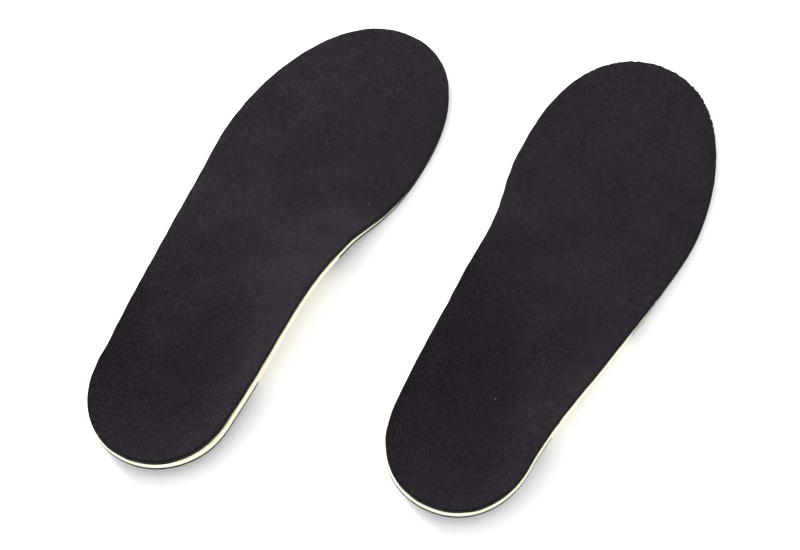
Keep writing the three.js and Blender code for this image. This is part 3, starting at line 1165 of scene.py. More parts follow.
@dataclass(frozen=True)
class KnitFinish:
    """A fine black knit: slanting rows of loops, fuzz, faint mottling, a little lint and painted shade
    in the heel cup.

    Attributes:
        dark: colour in the gaps between the loops.
        light: colour on the loops.
        cut: colour of the cut edge.
        lint: colour of the lint.
        violet: colour that tints some loops.
        wale: distance between the slanting rows, in millimetres.
        course: length of a loop, in millimetres.
        slant: direction across the rows, in degrees from x.
        heel_shade_at: where the painted shade in the heel cup is darkest, from the back end.
        heel_shade_size: half width and half length of that painted shade.
        heel_shade_most: how far the painted shade goes towards the dark colour at most, from 0 to 1.
    """

    dark: Colour = (0.0006, 0.0004, 0.0007)
    light: Colour = (0.0166, 0.0132, 0.0171)
    cut: Colour = (0.003, 0.0028, 0.0032)
    lint: Colour = (0.30, 0.29, 0.28)
    violet: Colour = (0.10, 0.05, 0.11)
    wale: float = 0.86
    course: float = 0.62
    slant: float = 58
    heel_shade_at: float = 48.0
    heel_shade_size: tuple[float, float] = (27.0, 56.0)
    heel_shade_most: float = 0.42

    def material(self, name: str) -> bpy.types.Material:
        """Makes the material.

        Args:
            name: its name.

        Returns:
            The material.
        """
        book = NodeBook(name)
        place = book.place()
        warp = book.noise(place, 0.35, 2)
        rows = book.turned(place, -self.slant, (1 / self.wale, 1 / self.course, 1))
        across = book.math("ADD", book.axis(rows, 0), book.math("MULTIPLY", warp, 0.5))
        along = book.axis(rows, 1)
        wave = book.math("COSINE", book.math("MULTIPLY", across, 2 * math.pi))
        lean = book.math("ABSOLUTE", book.math("SINE", book.math("MULTIPLY", across, math.pi)))
        loop = book.math("ADD", along, book.math("MULTIPLY", lean, 0.6))
        loops = book.math("COSINE", book.math("MULTIPLY", loop, 2 * math.pi))
        knit = book.math("ADD", book.total((wave, 0.20), (loops, 0.16)), 0.5)
        fuzz = book.noise(place, 5.5, 3, 0.7)
        tufts = book.ramp(book.noise(place, 1.5, 3, 0.75), 0.3, 0.7)
        height = book.total((knit, 0.38), (fuzz, 0.16), (tufts, 0.46))

        clouds = book.noise(place, 0.045, 3, 0.55)
        shade = book.total((height, 1.0), (book.math("SUBTRACT", clouds, 0.5), 0.2))
        colour = book.mix(book.ramp(shade, 0.39, 0.73), self.dark, self.light)
        # Painted shade: the heel cup is darkened towards the dark colour, standing in for the shade cast
        # by its rim.
        colour = book.mix(self.heel_shade(book, place), colour, self.dark)
        speck = book.noise(place, 2.6, 1, 0.5)
        violet = book.mix(0.10, colour, self.violet)
        tinted = book.mix(book.ramp(speck, 0.50, 0.62), colour, violet)
        dots = book.cells(book.turned(place, 20, (1, 0.7, 1)), 0.085)
        fleck = book.ramp(dots, 0.012, 0.022, 1, 0)
        colour = book.mix(book.math("MULTIPLY", fleck, 0.55), tinted, self.lint)
        book.link(book.mix(book.ramp(book.wall(), 0.1, 0.8), colour, self.cut), "Base Color")
        book.link(book.ramp(fuzz, 0.2, 0.8, 0.86, 1.0), "Roughness")
        book.set(
            Specular_IOR_Level=0.08,
            Sheen_Weight=0.03,
            Sheen_Roughness=0.45,
            Sheen_Tint=(0.75, 0.72, 0.80, 1),
        )
        book.bump(height, 0.16, 0.9)
        return book.material

    def heel_shade(self, book: NodeBook, place: Socket) -> Socket:
        """How far painted shade darkens the heel cup, standing in for the shade cast by its rim.

        Args:
            book: the material's nodes.
            place: the point, in millimetres.

        Returns:
            A share from 0 to 1.
        """
        across = book.math("DIVIDE", book.axis(place, 0), self.heel_shade_size[0])
        along = book.math("SUBTRACT", book.axis(place, 1), self.heel_shade_at)
        along = book.math("DIVIDE", along, self.heel_shade_size[1])
        reach = book.math("ADD", book.math("POWER", across, 2.0), book.math("POWER", along, 2.0))
        return book.ramp(reach, 0.05, 1.0, self.heel_shade_most, 0.0)


@dataclass(frozen=True)
class FoamFinish:
    """A cut or moulded foam: fine cells, a few open pores, and soft mottling.

    Attributes:
        colour: the foam itself.
        shade: the colour of its mottling.
        pore: the colour in its pores.
        cell: size of a cell, in millimetres.
        depth: how deep the cells show, in millimetres.
        roughness: of its skin.
        glow: how much light it scatters inside.
        specular: how strongly its skin shines.
        glow_scale: how far the light spreads inside, in millimetres.
        glow_radius: the same for red, green and blue, as shares.
    """

    colour: Colour
    shade: Colour
    pore: Colour
    cell: float = 0.35
    depth: float = 0.05
    roughness: float = 0.7
    glow: float = 0.0
    specular: float = 0.2
    glow_scale: float = 1.5
    glow_radius: Colour = (1.0, 0.7, 0.4)

    def material(self, name: str) -> bpy.types.Material:
        """Makes the material.

        Args:
            name: its name.

        Returns:
            The material.
        """
        book = NodeBook(name)
        place = book.place()
        cells = book.cells(place, 1 / self.cell)
        grain = book.noise(place, 3 / self.cell, 2)
        clouds = book.noise(place, 0.08, 3, 0.6)
        colour = book.mix(book.ramp(clouds, 0.35, 0.7), self.colour, self.shade)
        wide = book.cells(place, 0.28 / self.cell)
        open_pore = book.ramp(wide, 0.09, 0.16, 1, 0)
        colour = book.mix(book.math("MULTIPLY", open_pore, 0.6), colour, self.pore)
        book.link(colour, "Base Color")
        height = book.total((cells, 0.7), (grain, 0.3), (open_pore, -0.8))
        book.link(book.ramp(grain, 0.3, 0.7, self.roughness - 0.08, self.roughness + 0.08), "Roughness")
        book.set(Specular_IOR_Level=self.specular)
        if self.glow:
            book.set(
                Subsurface_Weight=self.glow,
                Subsurface_Scale=self.glow_scale * MM,
                Subsurface_Radius=self.glow_radius,
            )
        book.bump(height, self.depth)
        return book.material


@dataclass(frozen=True)
class ShellFinish:
    """Moulded black plastic: a fine spark texture, scuffs on the sole and a soft gloss."""

    colour: Colour = (0.006, 0.006, 0.0068)
    worn: Colour = (0.019, 0.0185, 0.019)
    roughness: float = 0.42

    def material(self, name: str) -> bpy.types.Material:
        """Makes the material.

        Args:
            name: its name.

        Returns:
            The material.
        """
        book = NodeBook(name)
        place = book.place()
        spark = book.noise(place, 4.5, 3, 0.65)
        scuff = book.noise(book.turned(place, 62, (1, 0.12, 1)), 1.1, 4, 0.7)
        low = book.ramp(book.axis(place, 2), 0.1, 0.9, 1, 0)
        wear = book.math("MULTIPLY", book.ramp(scuff, 0.56, 0.74), low)
        book.link(book.mix(wear, self.colour, self.worn), "Base Color")
        gloss = book.ramp(spark, 0.3, 0.7, self.roughness - 0.06, self.roughness + 0.08)
        book.link(book.math("ADD", gloss, book.math("MULTIPLY", wear, 0.2)), "Roughness")
        book.set(Specular_IOR_Level=0.2)
        book.bump(spark, 0.06, 0.8)
        return book.material


@dataclass(frozen=True)
class GelFinish:
    """A grey gel: smooth, slightly clear, with dust and tiny bubbles."""

    colour: Colour = (0.085, 0.10, 0.12)
    dust: Colour = (0.15, 0.157, 0.165)

    def material(self, name: str) -> bpy.types.Material:
        """Makes the material.

        Args:
            name: its name.

        Returns:
            The material.
        """
        book = NodeBook(name)
        place = book.place()
        clouds = book.noise(place, 0.3, 3, 0.6)
        bubbles = book.ramp(book.cells(place, 0.9), 0.05, 0.10, 1, 0)
        colour = book.mix(book.ramp(clouds, 0.4, 0.75, 0, 0.5), self.colour, self.dust)
        book.link(book.mix(book.math("MULTIPLY", bubbles, 0.5), colour, self.dust), "Base Color")
        book.link(book.ramp(clouds, 0.3, 0.7, 0.26, 0.44), "Roughness")
        book.set(
            Specular_IOR_Level=0.5,
            Subsurface_Weight=0.4,
            Subsurface_Scale=2 * MM,
            Subsurface_Radius=(0.6, 0.8, 1.0),
        )
        book.bump(book.noise(place, 1.6, 2), 0.04)
        return book.material


@dataclass(frozen=True)
class GripClothFinish:
    """A black brushed lining: a plain weave of thick and thin yarns under a short nap."""

    dark: Colour = (0.003, 0.003, 0.0034)
    light: Colour = (0.016, 0.0155, 0.017)
    yarn: float = 0.55

    def material(self, name: str) -> bpy.types.Material:
        """Makes the material.

        Args:
            name: its name.

        Returns:
            The material.
        """
        book = NodeBook(name)
        place = book.place()
        yarns = book.turned(place, 0, (1 / self.yarn, 1 / self.yarn, 1))
        warp = book.math("SINE", book.math("MULTIPLY", book.axis(yarns, 0), 2 * math.pi))
        weft = book.math("SINE", book.math("MULTIPLY", book.axis(yarns, 1), 2 * math.pi))
        weave = book.math("ADD", book.math("MULTIPLY", book.math("MULTIPLY", warp, weft), 0.5), 0.5)
        nap = book.noise(place, 4.0, 3, 0.7)
        height = book.total((weave, 0.55), (nap, 0.45))
        clouds = book.noise(place, 0.06, 3, 0.6)
        shade = book.total((height, 1.0), (book.math("SUBTRACT", clouds, 0.5), 0.4))
        book.link(book.mix(book.ramp(shade, 0.2, 0.9), self.dark, self.light), "Base Color")
        book.link(book.ramp(nap, 0.2, 0.8, 0.85, 1.0), "Roughness")
        book.set(Specular_IOR_Level=0.1, Sheen_Weight=0.05, Sheen_Roughness=0.5)
        book.bump(height, 0.18)
        return book.material


class Finishes:
    """The materials of the pair, each made once."""

    def __init__(self) -> None:
        """Makes every material."""
        self.knit = {
            foot: KnitFinish(slant=foot.pick(58, 122)).material(foot.node("black_knit"))
            for foot in Foot
        }
        self.cushion = FoamFinish(
            colour=(0.004, 0.0037, 0.0043),
            shade=(0.008, 0.0073, 0.0085),
            pore=(0.001, 0.001, 0.001),
            cell=0.3,
            depth=0.08,
            roughness=0.9,
        ).material("black_cushion_foam")
        self.cream = FoamFinish(
            colour=(0.76, 0.725, 0.58),
            shade=(0.71, 0.67, 0.51),
            pore=(0.50, 0.43, 0.29),
            cell=0.4,
            depth=0.03,
            roughness=0.6,
            glow=0.4,
        ).material("cream_moulded_foam")
        self.shell = ShellFinish().material("black_shell_plastic")
        self.gel = GelFinish().material("grey_gel")
        self.lining = GripClothFinish().material("black_grip_cloth")


# ---------------------------------------------------------------------------------------------
# Pieces
# ---------------------------------------------------------------------------------------------


@dataclass
class ClothSettling:
    """A short cloth simulation that finds how the bonded cover puckers.

    Attributes:
        shape: the insole's shape.
        pitch: size of the cloth's mesh, in millimetres.
        frames: how long it settles.
        spare: how much larger the cloth is than the face it is bonded to.
        hold: how firmly the glue holds it, from 0 to 1.
        slack_hold: the same round the toe bend, where the cover has worked loose.
        slack_width: how far from the toe bend the glue is slack, in millimetres.
        most: the most that a point may move, in millimetres.
        start_wave: distance between the ripples it starts with, in millimetres.
        start_height: their height, in millimetres.
    """

    shape: InsoleShape
    pitch: float = 3.4
    frames: int = 20
    spare: float = 0.02
    hold: float = 0.10
    slack_hold: float = 0.015
    slack_width: float = 26
    most: float = 0.45
    start_wave: float = 16
    start_height: float = 0.12

    def moves(self, foot: Foot) -> Heights:
        """Runs the simulation for one insole.

        Args:
            foot: which insole; each settles a little differently.

        Returns:
            A function that gives how far the cover stands off its face over plan points.
        """
        rim = self.shape.rim(self.pitch)
        start = Ripple(foot.pick(7, 19), self.start_wave, self.start_height)

        def face(plan: np.ndarray) -> np.ndarray:
            """Height of the rippled sheet before it settles."""
            return self.shape.top(plan) + start(plan)

        solid = PlanSolid(face, face, [Boundary.swept(rim, [(0, face), (0, face)])], self.pitch)
        points, faces, _ = solid.build()
        count = len(points) // 2
        points = points[:count]
        faces = [f for f in faces if max(f) < count]
        lifted = self.settle(points, faces, len(rim), foot)
        lift = np.clip(lifted - self.shape.top(points[:, :2]), -self.most, self.most)
        lift -= lift.mean()
        return Spread(points[:, :2], lift, 0.8 * self.pitch)

    def settle(
        self, points: np.ndarray, faces: list[tuple[int, ...]], rim_count: int, foot: Foot
    ) -> np.ndarray:
        """Lets a sheet settle with its rim held.

        Args:
            points: the sheet's corners in millimetres, the rim's first.
            faces: its triangles.
            rim_count: how many corners the rim has.
            foot: which insole it covers.

        Returns:
            The height of each corner afterwards, in millimetres.
        """
        mesh = bpy.data.meshes.new(f"{foot.value}_settling")
        mesh.from_pydata((points * MM).tolist(), [], faces)
        sheet = bpy.data.objects.new(mesh.name, mesh)
        scene = bpy.context.scene
        scene.collection.objects.link(sheet)
        held = sheet.vertex_groups.new(name="held")
        near = np.exp(-(self.shape.flex.distance(points[:, :2]) / self.slack_width) ** 2)
        grip = self.hold + (self.slack_hold - self.hold) * near
        grip[:rim_count] = 1
        for i, weight in enumerate(grip.tolist()):
            held.add([i], weight, "REPLACE")
        cloth = sheet.modifiers.new("settling", "CLOTH")
        settings = cloth.settings
        settings.quality = 6
        settings.mass = 0.12
        settings.tension_stiffness = 30
        settings.compression_stiffness = 30
        settings.shear_stiffness = 12
        settings.bending_stiffness = 1.5
        settings.air_damping = 4
        settings.shrink_min = -self.spare
        settings.vertex_group_mass = held.name
        settings.pin_stiffness = 1
        settings.effector_weights.gravity = 0
        cloth.collision_settings.use_collision = False
        cloth.point_cache.frame_start = 1
        cloth.point_cache.frame_end = self.frames
        for number in range(1, self.frames + 1):
            scene.frame_set(number)
        settled = sheet.evaluated_get(bpy.context.evaluated_depsgraph_get())
        heights = np.array([vertex.co.z for vertex in settled.data.vertices]) / MM
        scene.frame_set(1)
        bpy.data.objects.remove(sheet)
        bpy.data.meshes.remove(mesh)
        return heights


@dataclass(frozen=True)
class Spread:
    """Scattered values spread smoothly over the plan, and nothing away from them.

    Attributes:
        plan: (n, 2) points.
        values: their values.
        width: how far each one reaches, in millimetres.
        fade: how soon the values fade to nothing away from the points.
        batch: how many points are worked out at a time.
    """

    plan: np.ndarray
    values: np.ndarray
    width: float
    fade: float = 0.3
    batch: int = 1500

    def __call__(self, plan: np.ndarray) -> np.ndarray:
        """The values over other plan points.

        Args:
            plan: (n, 2) points.

        Returns:
            One value for each point.
        """
        made = []
        for some in np.array_split(plan, max(1, len(plan) // self.batch)):
            away = ((some[:, None] - self.plan[None]) ** 2).sum(axis=2)
            weight = np.exp(-away / (2 * self.width**2))
            made.append((weight @ self.values) / (weight.sum(axis=1) + self.fade))
        return np.concatenate(made)


@dataclass
class Piece:
    """What every piece of an insole shares.

    Attributes:
        shape: the insole's shape.
        placement: where the insole lies.
        finishes: the pair's materials.
        seam: the visible gap between bonded layers, in millimetres.
        bend_length: how far ahead of the toe bend the second of the bend's marks lies.
    """

    shape: InsoleShape
    placement: Placement
    finishes: Finishes
    seam: float = 0.02
    bend_length: float = 30

    @property
    def foot(self) -> Foot:
        """Which insole the piece belongs to."""
        return self.placement.foot

    def top(self, plan: np.ndarray) -> np.ndarray:
        """Height of the insole's top face."""
        return self.shape.top(plan)

    def blank_top(self, plan: np.ndarray) -> np.ndarray:
        """Height of the face that the cushion is bonded to."""
        return self.shape.top(plan) - self.shape.blank_drop

    def bend(self, piece: bpy.types.Object) -> None:
        """Bakes the piece's place into its mesh; the toe bend's marks are worked out but not used.

        Args:
            piece: the piece.
        """
        flex = self.shape.flex
        start = np.array([self.shape.middle(np.array([flex.at]))[0], 0.0])
        start[1] = flex.at + start[0] * math.tan(math.radians(flex.slant))
        end = start + flex.ahead * self.bend_length
        marks = self.placement.to_row(np.array([[*start, 0.0], [*end, 0.0]]))
        self.foot.rear
        self.foot.forefoot
        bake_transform(piece)

    def made(
        self, name: str, solid: PlanSolid, material: bpy.types.Material, slot: str
    ) -> bpy.types.Object:
        """Makes a piece's object and dresses it.

        Args:
            name: the piece's name, without its foot.
            solid: its shape.
            material: its finish.
            slot: not used.

        Returns:
            The object.
        """
        piece = make_piece(self.foot.node(name), *solid.build(), self.placement)
        piece.data.materials.append(material)
        return piece

    def as_layer(self, piece: bpy.types.Object, name: str) -> bpy.types.Object:
        """Bakes a piece's place into its mesh and hides the layer's two plain halves, which it stands in
        for.

        Args:
            piece: the piece.
            name: the layer's name, without its foot.

        Returns:
            The piece.
        """
        self.bend(piece)
        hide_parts(self.foot.node(f"{name}_rear"), self.foot.node(f"{name}_fore"))
        return piece

    def as_block(self, piece: bpy.types.Object, name: str) -> bpy.types.Object:
        """Fixes a piece to the rear of the insole, in place of its plain solid.

        Args:
            piece: the piece.
            name: the solid's name, without its foot.

        Returns:
            The piece.
        """
        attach(piece, self.foot.rear)
        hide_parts(self.foot.node(name))
        return piece


@dataclass
class TopCover(Piece):
    """The knitted cover over the whole top face.

    Attributes:
        pitch: distance between the points of its mesh, in millimetres.
        edge: how its cut edge is rounded.
        waver: how unevenly it is cut.
        fray: how rough the cut is at the toe, where it has been trimmed.
        trim: how far behind the tip the trimmed part starts.
        trim_ease: how gently it starts.
        calm: how uneven the cloth is where it lies flat.
        rim_hold: how near the rim the cloth lies flat on its face.
    """

    pitch: float = 1.5
    edge: RoundedEdge = RoundedEdge(0.5, 0.1)
    waver: float = 0.07
    fray: float = 0.16
    trim: float = 34
    trim_ease: float = 12
    calm: Ripple = Ripple(5, 7, 0.02)
    rim_hold: float = 6

    def outline(self) -> np.ndarray:
        """The cut outline, a little uneven, and rough where the toe has been trimmed.

        Returns:
            Plan points in order, anticlockwise.
        """
        rim = self.shape.rim(1.0)
        seed = self.foot.pick(31, 47)
        uneven = Ripple(seed, 11, self.waver)(rim)
        toe = np.clip((rim[:, 1] - self.shape.length + self.trim) / self.trim_ease, 0, 1)
        rough = Ripple(seed + 1, 2.2, self.fray)(rim) * toe * self.foot.pick(0.35, 1.0)
        return rim + outward(rim) * (uneven + rough)[:, None]

    def build(self, lift: Heights) -> bpy.types.Object:
        """Makes the cover.

        Args:
            lift: how far the settled cloth stands off its face.

        Returns:
            The object.
        """

        def face(plan: np.ndarray) -> np.ndarray:
            """Height of the puckered upper face.

            Args:
                plan: (n, 2) points.

            Returns:
                One height for each point.
            """
            place = self.shape.locate(plan)
            free = np.clip((1 - place.share) * place.reach / self.rim_hold, 0, 1)
            return self.top(plan) + (lift(plan) + self.calm(plan)) * free**2 * (3 - 2 * free)

        def back(plan: np.ndarray) -> np.ndarray:
            """Height of the bonded face."""
            return self.top(plan) - self.shape.cover - self.shape.glue + self.seam

        solid = PlanSolid.slab(face, back, self.outline(), self.edge, self.pitch)
        piece = self.made("top_cover", solid, self.finishes.knit[self.foot], "knit_cover")
        return self.as_layer(piece, "top_cover")


@dataclass
class CushionLayer(Piece):
    """The thin black cushion between the cover and the foam, with room for the forefoot pad.

    Attributes:
        pitch: distance between the points of its mesh, in millimetres.
        edge: how its cut edge is rounded.
        waver: how unevenly it is cut.
        inset: how far its edge lies inside the insole's outline.
        pad_gap: room over the pad.
        room_slope: how wide the side of the pad's room is, in plan.
    """

    pitch: float = 1.8
    edge: RoundedEdge = RoundedEdge(0.12, 0.25, 3)
    waver: float = 0.06
    inset: float = 0.08
    pad_gap: float = 0.1
    room_slope: float = 0.2

    def outline(self) -> np.ndarray:
        """The cut outline, a little uneven.

        Returns:
            Plan points in order, anticlockwise.
        """
        rim = self.shape.rim(1.2)
        uneven = Ripple(self.foot.pick(61, 73), 9, self.waver)(rim)
        return rim + outward(rim) * (uneven - self.inset)[:, None]

    def build(self, pad: "ForefootPad") -> bpy.types.Object:
        """Makes the cushion.

        Args:
            pad: the pad that its underside makes room for.

        Returns:
            The object.
        """
        depth = self.shape.cover + self.shape.glue
        under = self.shape.blank_drop - self.seam

        def face(plan: np.ndarray) -> np.ndarray:
            """Height of the upper face."""
            return self.top(plan) - depth

        def back(plan: np.ndarray) -> np.ndarray:
            """Height of the underside, raised over the pad."""
            room = np.clip(pad.inside_by(plan) / self.room_slope + 1, 0, 1)
            return self.top(plan) - under + room * (pad.thickness + self.pad_gap)

        sides = np.vstack([pad.outline(0.1 * self.room_slope), pad.outline(1.2 * self.room_slope)])
        solid = PlanSolid.slab(face, back, self.outline(), self.edge, self.pitch, sides)
        piece = self.made("cushion", solid, self.finishes.cushion, "black_foam")
        return self.as_layer(piece, "cushion")


@dataclass
class GelPad(Piece):
    """An oval pad of soft gel.

    Attributes:
        width: across the insole.
        length: along the insole.
        thickness: of the gel.
        edge: how its edge is rounded.
        pitch: distance between the points of its mesh, in millimetres.
        rim_pitch: the same round its edge.
        rim_steps: how finely its edge is worked out.
    """

    width: float = 30
    length: float = 40
    thickness: float = 4
    edge: RoundedEdge = RoundedEdge(0.3, 0.8, 4)
    pitch: float = 0.6
    rim_pitch: float = 0.8
    rim_steps: int = 300

    @property
    def at(self) -> float:
        """How far its middle lies from the heel's back."""
        return self.shape.heel_round

    @property
    def centre(self) -> np.ndarray:
        """Its middle, in plan."""
        return np.array([self.shape.middle(np.array([self.at]))[0], self.at])

    def outline(self, grow: float = 0.0) -> np.ndarray:
        """The oval.

        Args:
            grow: how much larger to make it all round.

        Returns:
            Plan points in order, anticlockwise.
        """
        turn = np.linspace(0, 2 * math.pi, self.rim_steps, endpoint=False)
        x = (self.width / 2 + grow) * np.cos(turn)
        y = (self.length / 2 + grow) * np.sin(turn)
        return respaced(self.centre + np.column_stack([x, y]), self.rim_pitch)

    def inside_by(self, plan: np.ndarray) -> np.ndarray:
        """Roughly how far plan points lie inside the oval.

        Args:
            plan: (n, 2) points.

        Returns:
            One distance for each point, in millimetres.
        """
        half = np.array([self.width, self.length]) / 2
        share = np.linalg.norm((plan - self.centre) / half, axis=1)
        return (1 - share) * half.min()


@dataclass
class ForefootPad(GelPad):
    """The soft oval pad let into the cushion's underside at the ball.

    Attributes:
        ahead: how far its middle lies ahead of the toe bend.
    """

    width: float = 60
    length: float = 44
    thickness: float = 1
    edge: RoundedEdge = RoundedEdge(0.35, 0.1, 3)
    pitch: float = 1.6
    rim_pitch: float = 1.0
    ahead: float = 8

    @property
    def at(self) -> float:
        """How far its middle lies from the heel's back."""
        return self.shape.ahead(self.ahead)

    def build(self) -> bpy.types.Object:
        """Makes the pad.

        Returns:
            The object.
        """
        under = self.shape.blank_drop - self.seam

        def face(plan: np.ndarray) -> np.ndarray:
            """Height of the upper face."""
            return self.top(plan) - under + self.thickness

        def back(plan: np.ndarray) -> np.ndarray:
            """Height of the underside."""
            return self.top(plan) - under

        solid = PlanSolid.slab(face, back, self.outline(), self.edge, self.pitch)
        piece = self.made("forefoot_pad", solid, self.finishes.gel, "grey_gel")
        return self.as_layer(piece, "forefoot_pad")


@dataclass
class HeelPad(GelPad):
    """The gel pad in the shell's window, with a relief of shallow six-sided dimples.

    Attributes:
        recess: how far it lies above the ground.
        dimple: width of a dimple.
        dimple_depth: depth of a dimple.
        plain_rim: width of the rim without dimples.
        plain_ease: how gently the dimples start inside it.
    """

    recess: float = 0.3
    dimple: float = 4.2
    dimple_depth: float = 0.45
    plain_rim: float = 1.6
    plain_ease: float = 1.2

    def relief(self, plan: np.ndarray) -> np.ndarray:
        """Depth of the dimples.

        Args:
            plan: (n, 2) points.

        Returns:
            One depth for each point.
        """
        offset = plan - self.centre
        axes = [np.array([math.cos(a), math.sin(a)]) for a in (0, math.pi / 3, 2 * math.pi / 3)]
        waves = sum(np.cos(2 * math.pi / self.dimple * offset @ axis) for axis in axes)
        bowl = np.clip((waves + 0.2) / 2.4, 0, 1)
        margin = np.clip((self.inside_by(plan) - self.plain_rim) / self.plain_ease, 0, 1)
        return self.dimple_depth * bowl * bowl * (3 - 2 * bowl) * margin

    def build(self) -> bpy.types.Object:
        """Makes the pad.

        Returns:
            The object.
        """

        def face(plan: np.ndarray) -> np.ndarray:
            """Height of the flat upper face."""
            return np.full(len(plan), self.recess + self.thickness)

        def back(plan: np.ndarray) -> np.ndarray:
            """Height of the dimpled underside."""
            return self.recess + self.relief(plan)

        solid = PlanSolid.slab(face, back, self.outline(), self.edge, self.pitch)
        piece = self.made("heel_pad", solid, self.finishes.gel, "grey_gel")
        return self.as_block(piece, "heel_pad")


@dataclass
class HeelShell(Piece):
    """The black shell: wings round the heel, a tongue under the arch and a window for the pad.

    Attributes:
        thickness: of its wall.
        lip: height of its edge on the side.
        inner_wing_end: where its inner wing ends.
        outer_wing_end: where its outer wing ends.
        wing_round: rounding of the wings' ends at the rim.
        tongue_behind: how far behind the lining the tongue ends.
        tongue_width: the tongue's width.
        tongue_round: rounding of the tongue's end.
        corner: rounding where the wings meet the tongue.
        gap: room round the shell and the pad.
        groove: width of the three grooves along the tongue.
        groove_depth: their depth.
        groove_pitch: distance from one to the next.
        groove_start: how far ahead of the inner wing they start.
        groove_end: how far behind the tongue's end they end.
        groove_ease: how gently they start and end.
        edge: how its edges are rounded.
        pitch: distance between the points of its mesh, in millimetres.
    """

    thickness: float = 1.2
    lip: float = 1.4
    inner_wing_end: float = 60.5
    outer_wing_end: float = 55.5
    wing_round: float = 1.2
    tongue_behind: float = 14.5
    tongue_width: float = 40
    tongue_round: float = 12
    corner: float = 10
    gap: float = 0.25
    groove: float = 2.6
    groove_depth: float = 0.45
    groove_pitch: float = 9
    groove_start: float = 8
    groove_end: float = 9
    groove_ease: float = 3
    edge: RoundedEdge = RoundedEdge(0.3, 0.35, 3)
    pitch: float = 0.9

    @property
    def tongue_end(self) -> float:
        """Where the tongue ends."""
        return self.shape.lining_start.at - self.tongue_behind

    @property
    def middle(self) -> float:
        """The tongue's middle line."""
        return float(self.shape.middle(np.array([self.shape.side_at]))[0])

    def outline(self, grow: float = 0.0) -> np.ndarray:
        """The shell's plan.

        Args:
            grow: how much larger to make it, except at the rim.

        Returns:
            Points in order, anticlockwise.
        """
        half = self.tongue_width / 2 + grow
        tip = self.tongue_end + grow
        inner_wing, outer_wing = self.inner_wing_end + grow, self.outer_wing_end + grow
        rim = self.shape.rim(0.5)
        place = self.shape.locate(rim)
        rim = rim + outward(rim) * self.shape.proud(place)[:, None]
        ends = np.where(rim[:, 0] > self.middle, inner_wing, outer_wing)
        heel = rim[rim[:, 1] < ends - self.wing_round]
        start = int(np.argmin(np.where(heel[:, 0] < self.middle, heel[:, 1], -np.inf) * -1))
        heel = np.roll(heel, -start, axis=0)
        inner, outer = heel[-1], heel[0]
        right = rounded(
            [(inner[0], inner_wing), (self.middle + half, inner_wing)],
            [self.wing_round, self.corner],
            tuple(inner),
            (self.middle + half, tip - self.tongue_round),
        )
        end = rounded(
            [(self.middle + half, tip), (self.middle - half, tip)],
            [self.tongue_round, self.tongue_round],
            right[-1],
            (self.middle - half, outer_wing + self.corner),
        )
        left = rounded(
            [(self.middle - half, outer_wing), (outer[0], outer_wing)],
            [self.corner, self.wing_round],
            end[-1],
            tuple(outer),
        )
        return respaced(np.vstack([heel, right[1:], end[1:], left[1:-1]]), self.pitch)

    def face(self, plan: np.ndarray) -> np.ndarray:
        """Height of the shell's inner face."""
        return self.shape.skin(plan, self.thickness, self.lip)

    def grooves(self, plan: np.ndarray) -> np.ndarray:
        """Depth of the tongue's grooves over plan points.

        Args:
            plan: (n, 2) points.

        Returns:
            One depth for each point.
        """
        depth = np.zeros(len(plan))
        y = plan[:, 1]
        start, end = self.inner_wing_end + self.groove_start, self.tongue_end - self.groove_end
        along = np.clip(np.minimum(y - start, end - y) / self.groove_ease, 0, 1)
        for step in (-1, 0, 1):
            off = np.abs(plan[:, 0] - self.middle - step * self.groove_pitch)
            depth = np.maximum(depth, np.clip(1 - off / (self.groove / 2), 0, 1))
        return self.groove_depth * np.sqrt(depth * (2 - depth)) * along

    def build(self, pad: HeelPad) -> bpy.types.Object:
        """Makes the shell.

        Args:
            pad: the pad that shows in its window.

        Returns:
            The object.
        """

        def back(plan: np.ndarray) -> np.ndarray:
            """Height of the grooved sole."""
            return self.shape.underside(plan) + self.grooves(plan)

        edge = self.edge.levels(self.face, back)
        window = pad.outline(self.gap)[::-1]
        solid = PlanSolid(
            self.face,
            back,
            [Boundary.swept(self.outline(), edge), Boundary.swept(window, edge)],
            self.pitch,
        )
        piece = self.made("heel_shell", solid, self.finishes.shell, "shell_plastic")
        return self.as_block(piece, "heel_shell")


def rounded(
    corners: list[tuple[float, float]],
    radii: list[float],
    before: tuple[float, float],
    after: tuple[float, float],
    steps: int = 10,
) -> np.ndarray:
    """A path from one point to another, with its corners rounded.

    Args:
        corners: the corners between the ends.
        radii: how far from each corner its rounding starts.
        before: the path's start.
        after: the path's end.
        steps: points in each rounding.

    Returns:
        (n, 2) points from start to end.
    """
    way = [np.array(p, float) for p in (before, *corners, after)]
    path = [way[0]]
    for i, radius in enumerate(radii, start=1):
        here = way[i]
        back, on = way[i - 1] - here, way[i + 1] - here
        start = here + back * min(1.0, radius / np.linalg.norm(back))
        end = here + on * min(1.0, radius / np.linalg.norm(on))
        for t in np.linspace(0, 1, steps):
            path.append(start * (1 - t) ** 2 + here * 2 * t * (1 - t) + end * t**2)
    path.append(way[-1])
    return np.array(path)


@dataclass
class Lining(Piece):
    """The black lining under the forefoot, from the arch's front to the toe tip.

    Attributes:
        thickness: of the cloth.
        pitch: distance between the points of its mesh, in millimetres.
        edge: how its edge is rounded.
    """

    thickness: float = 0.9
    pitch: float = 1.6
    edge: RoundedEdge = RoundedEdge(0.15, 0.25, 3)

    def outline(self) -> np.ndarray:
        """The lining's plan: the rim ahead of a slanting line.

        Returns:
            Plan points in order, anticlockwise.
        """
        rim = self.shape.rim(1.0)
        rim = rim + outward(rim) * self.shape.proud(self.shape.locate(rim))[:, None]
        return cut_outline(rim, self.shape.lining_start, ahead=True)

    def face(self, plan: np.ndarray) -> np.ndarray:
        """Height of the lining's upper face."""
        room = self.blank_top(plan) - self.seam
        return np.minimum(self.shape.skin(plan, self.thickness), room)

    def build(self) -> bpy.types.Object:
        """Makes the lining.

        Returns:
            The object.
        """
        under = self.shape.underside
        solid = PlanSolid.slab(self.face, under, self.outline(), self.edge, self.pitch)
        piece = self.made("lining", solid, self.finishes.lining, "grip_cloth")
        return self.as_layer(piece, "lining")


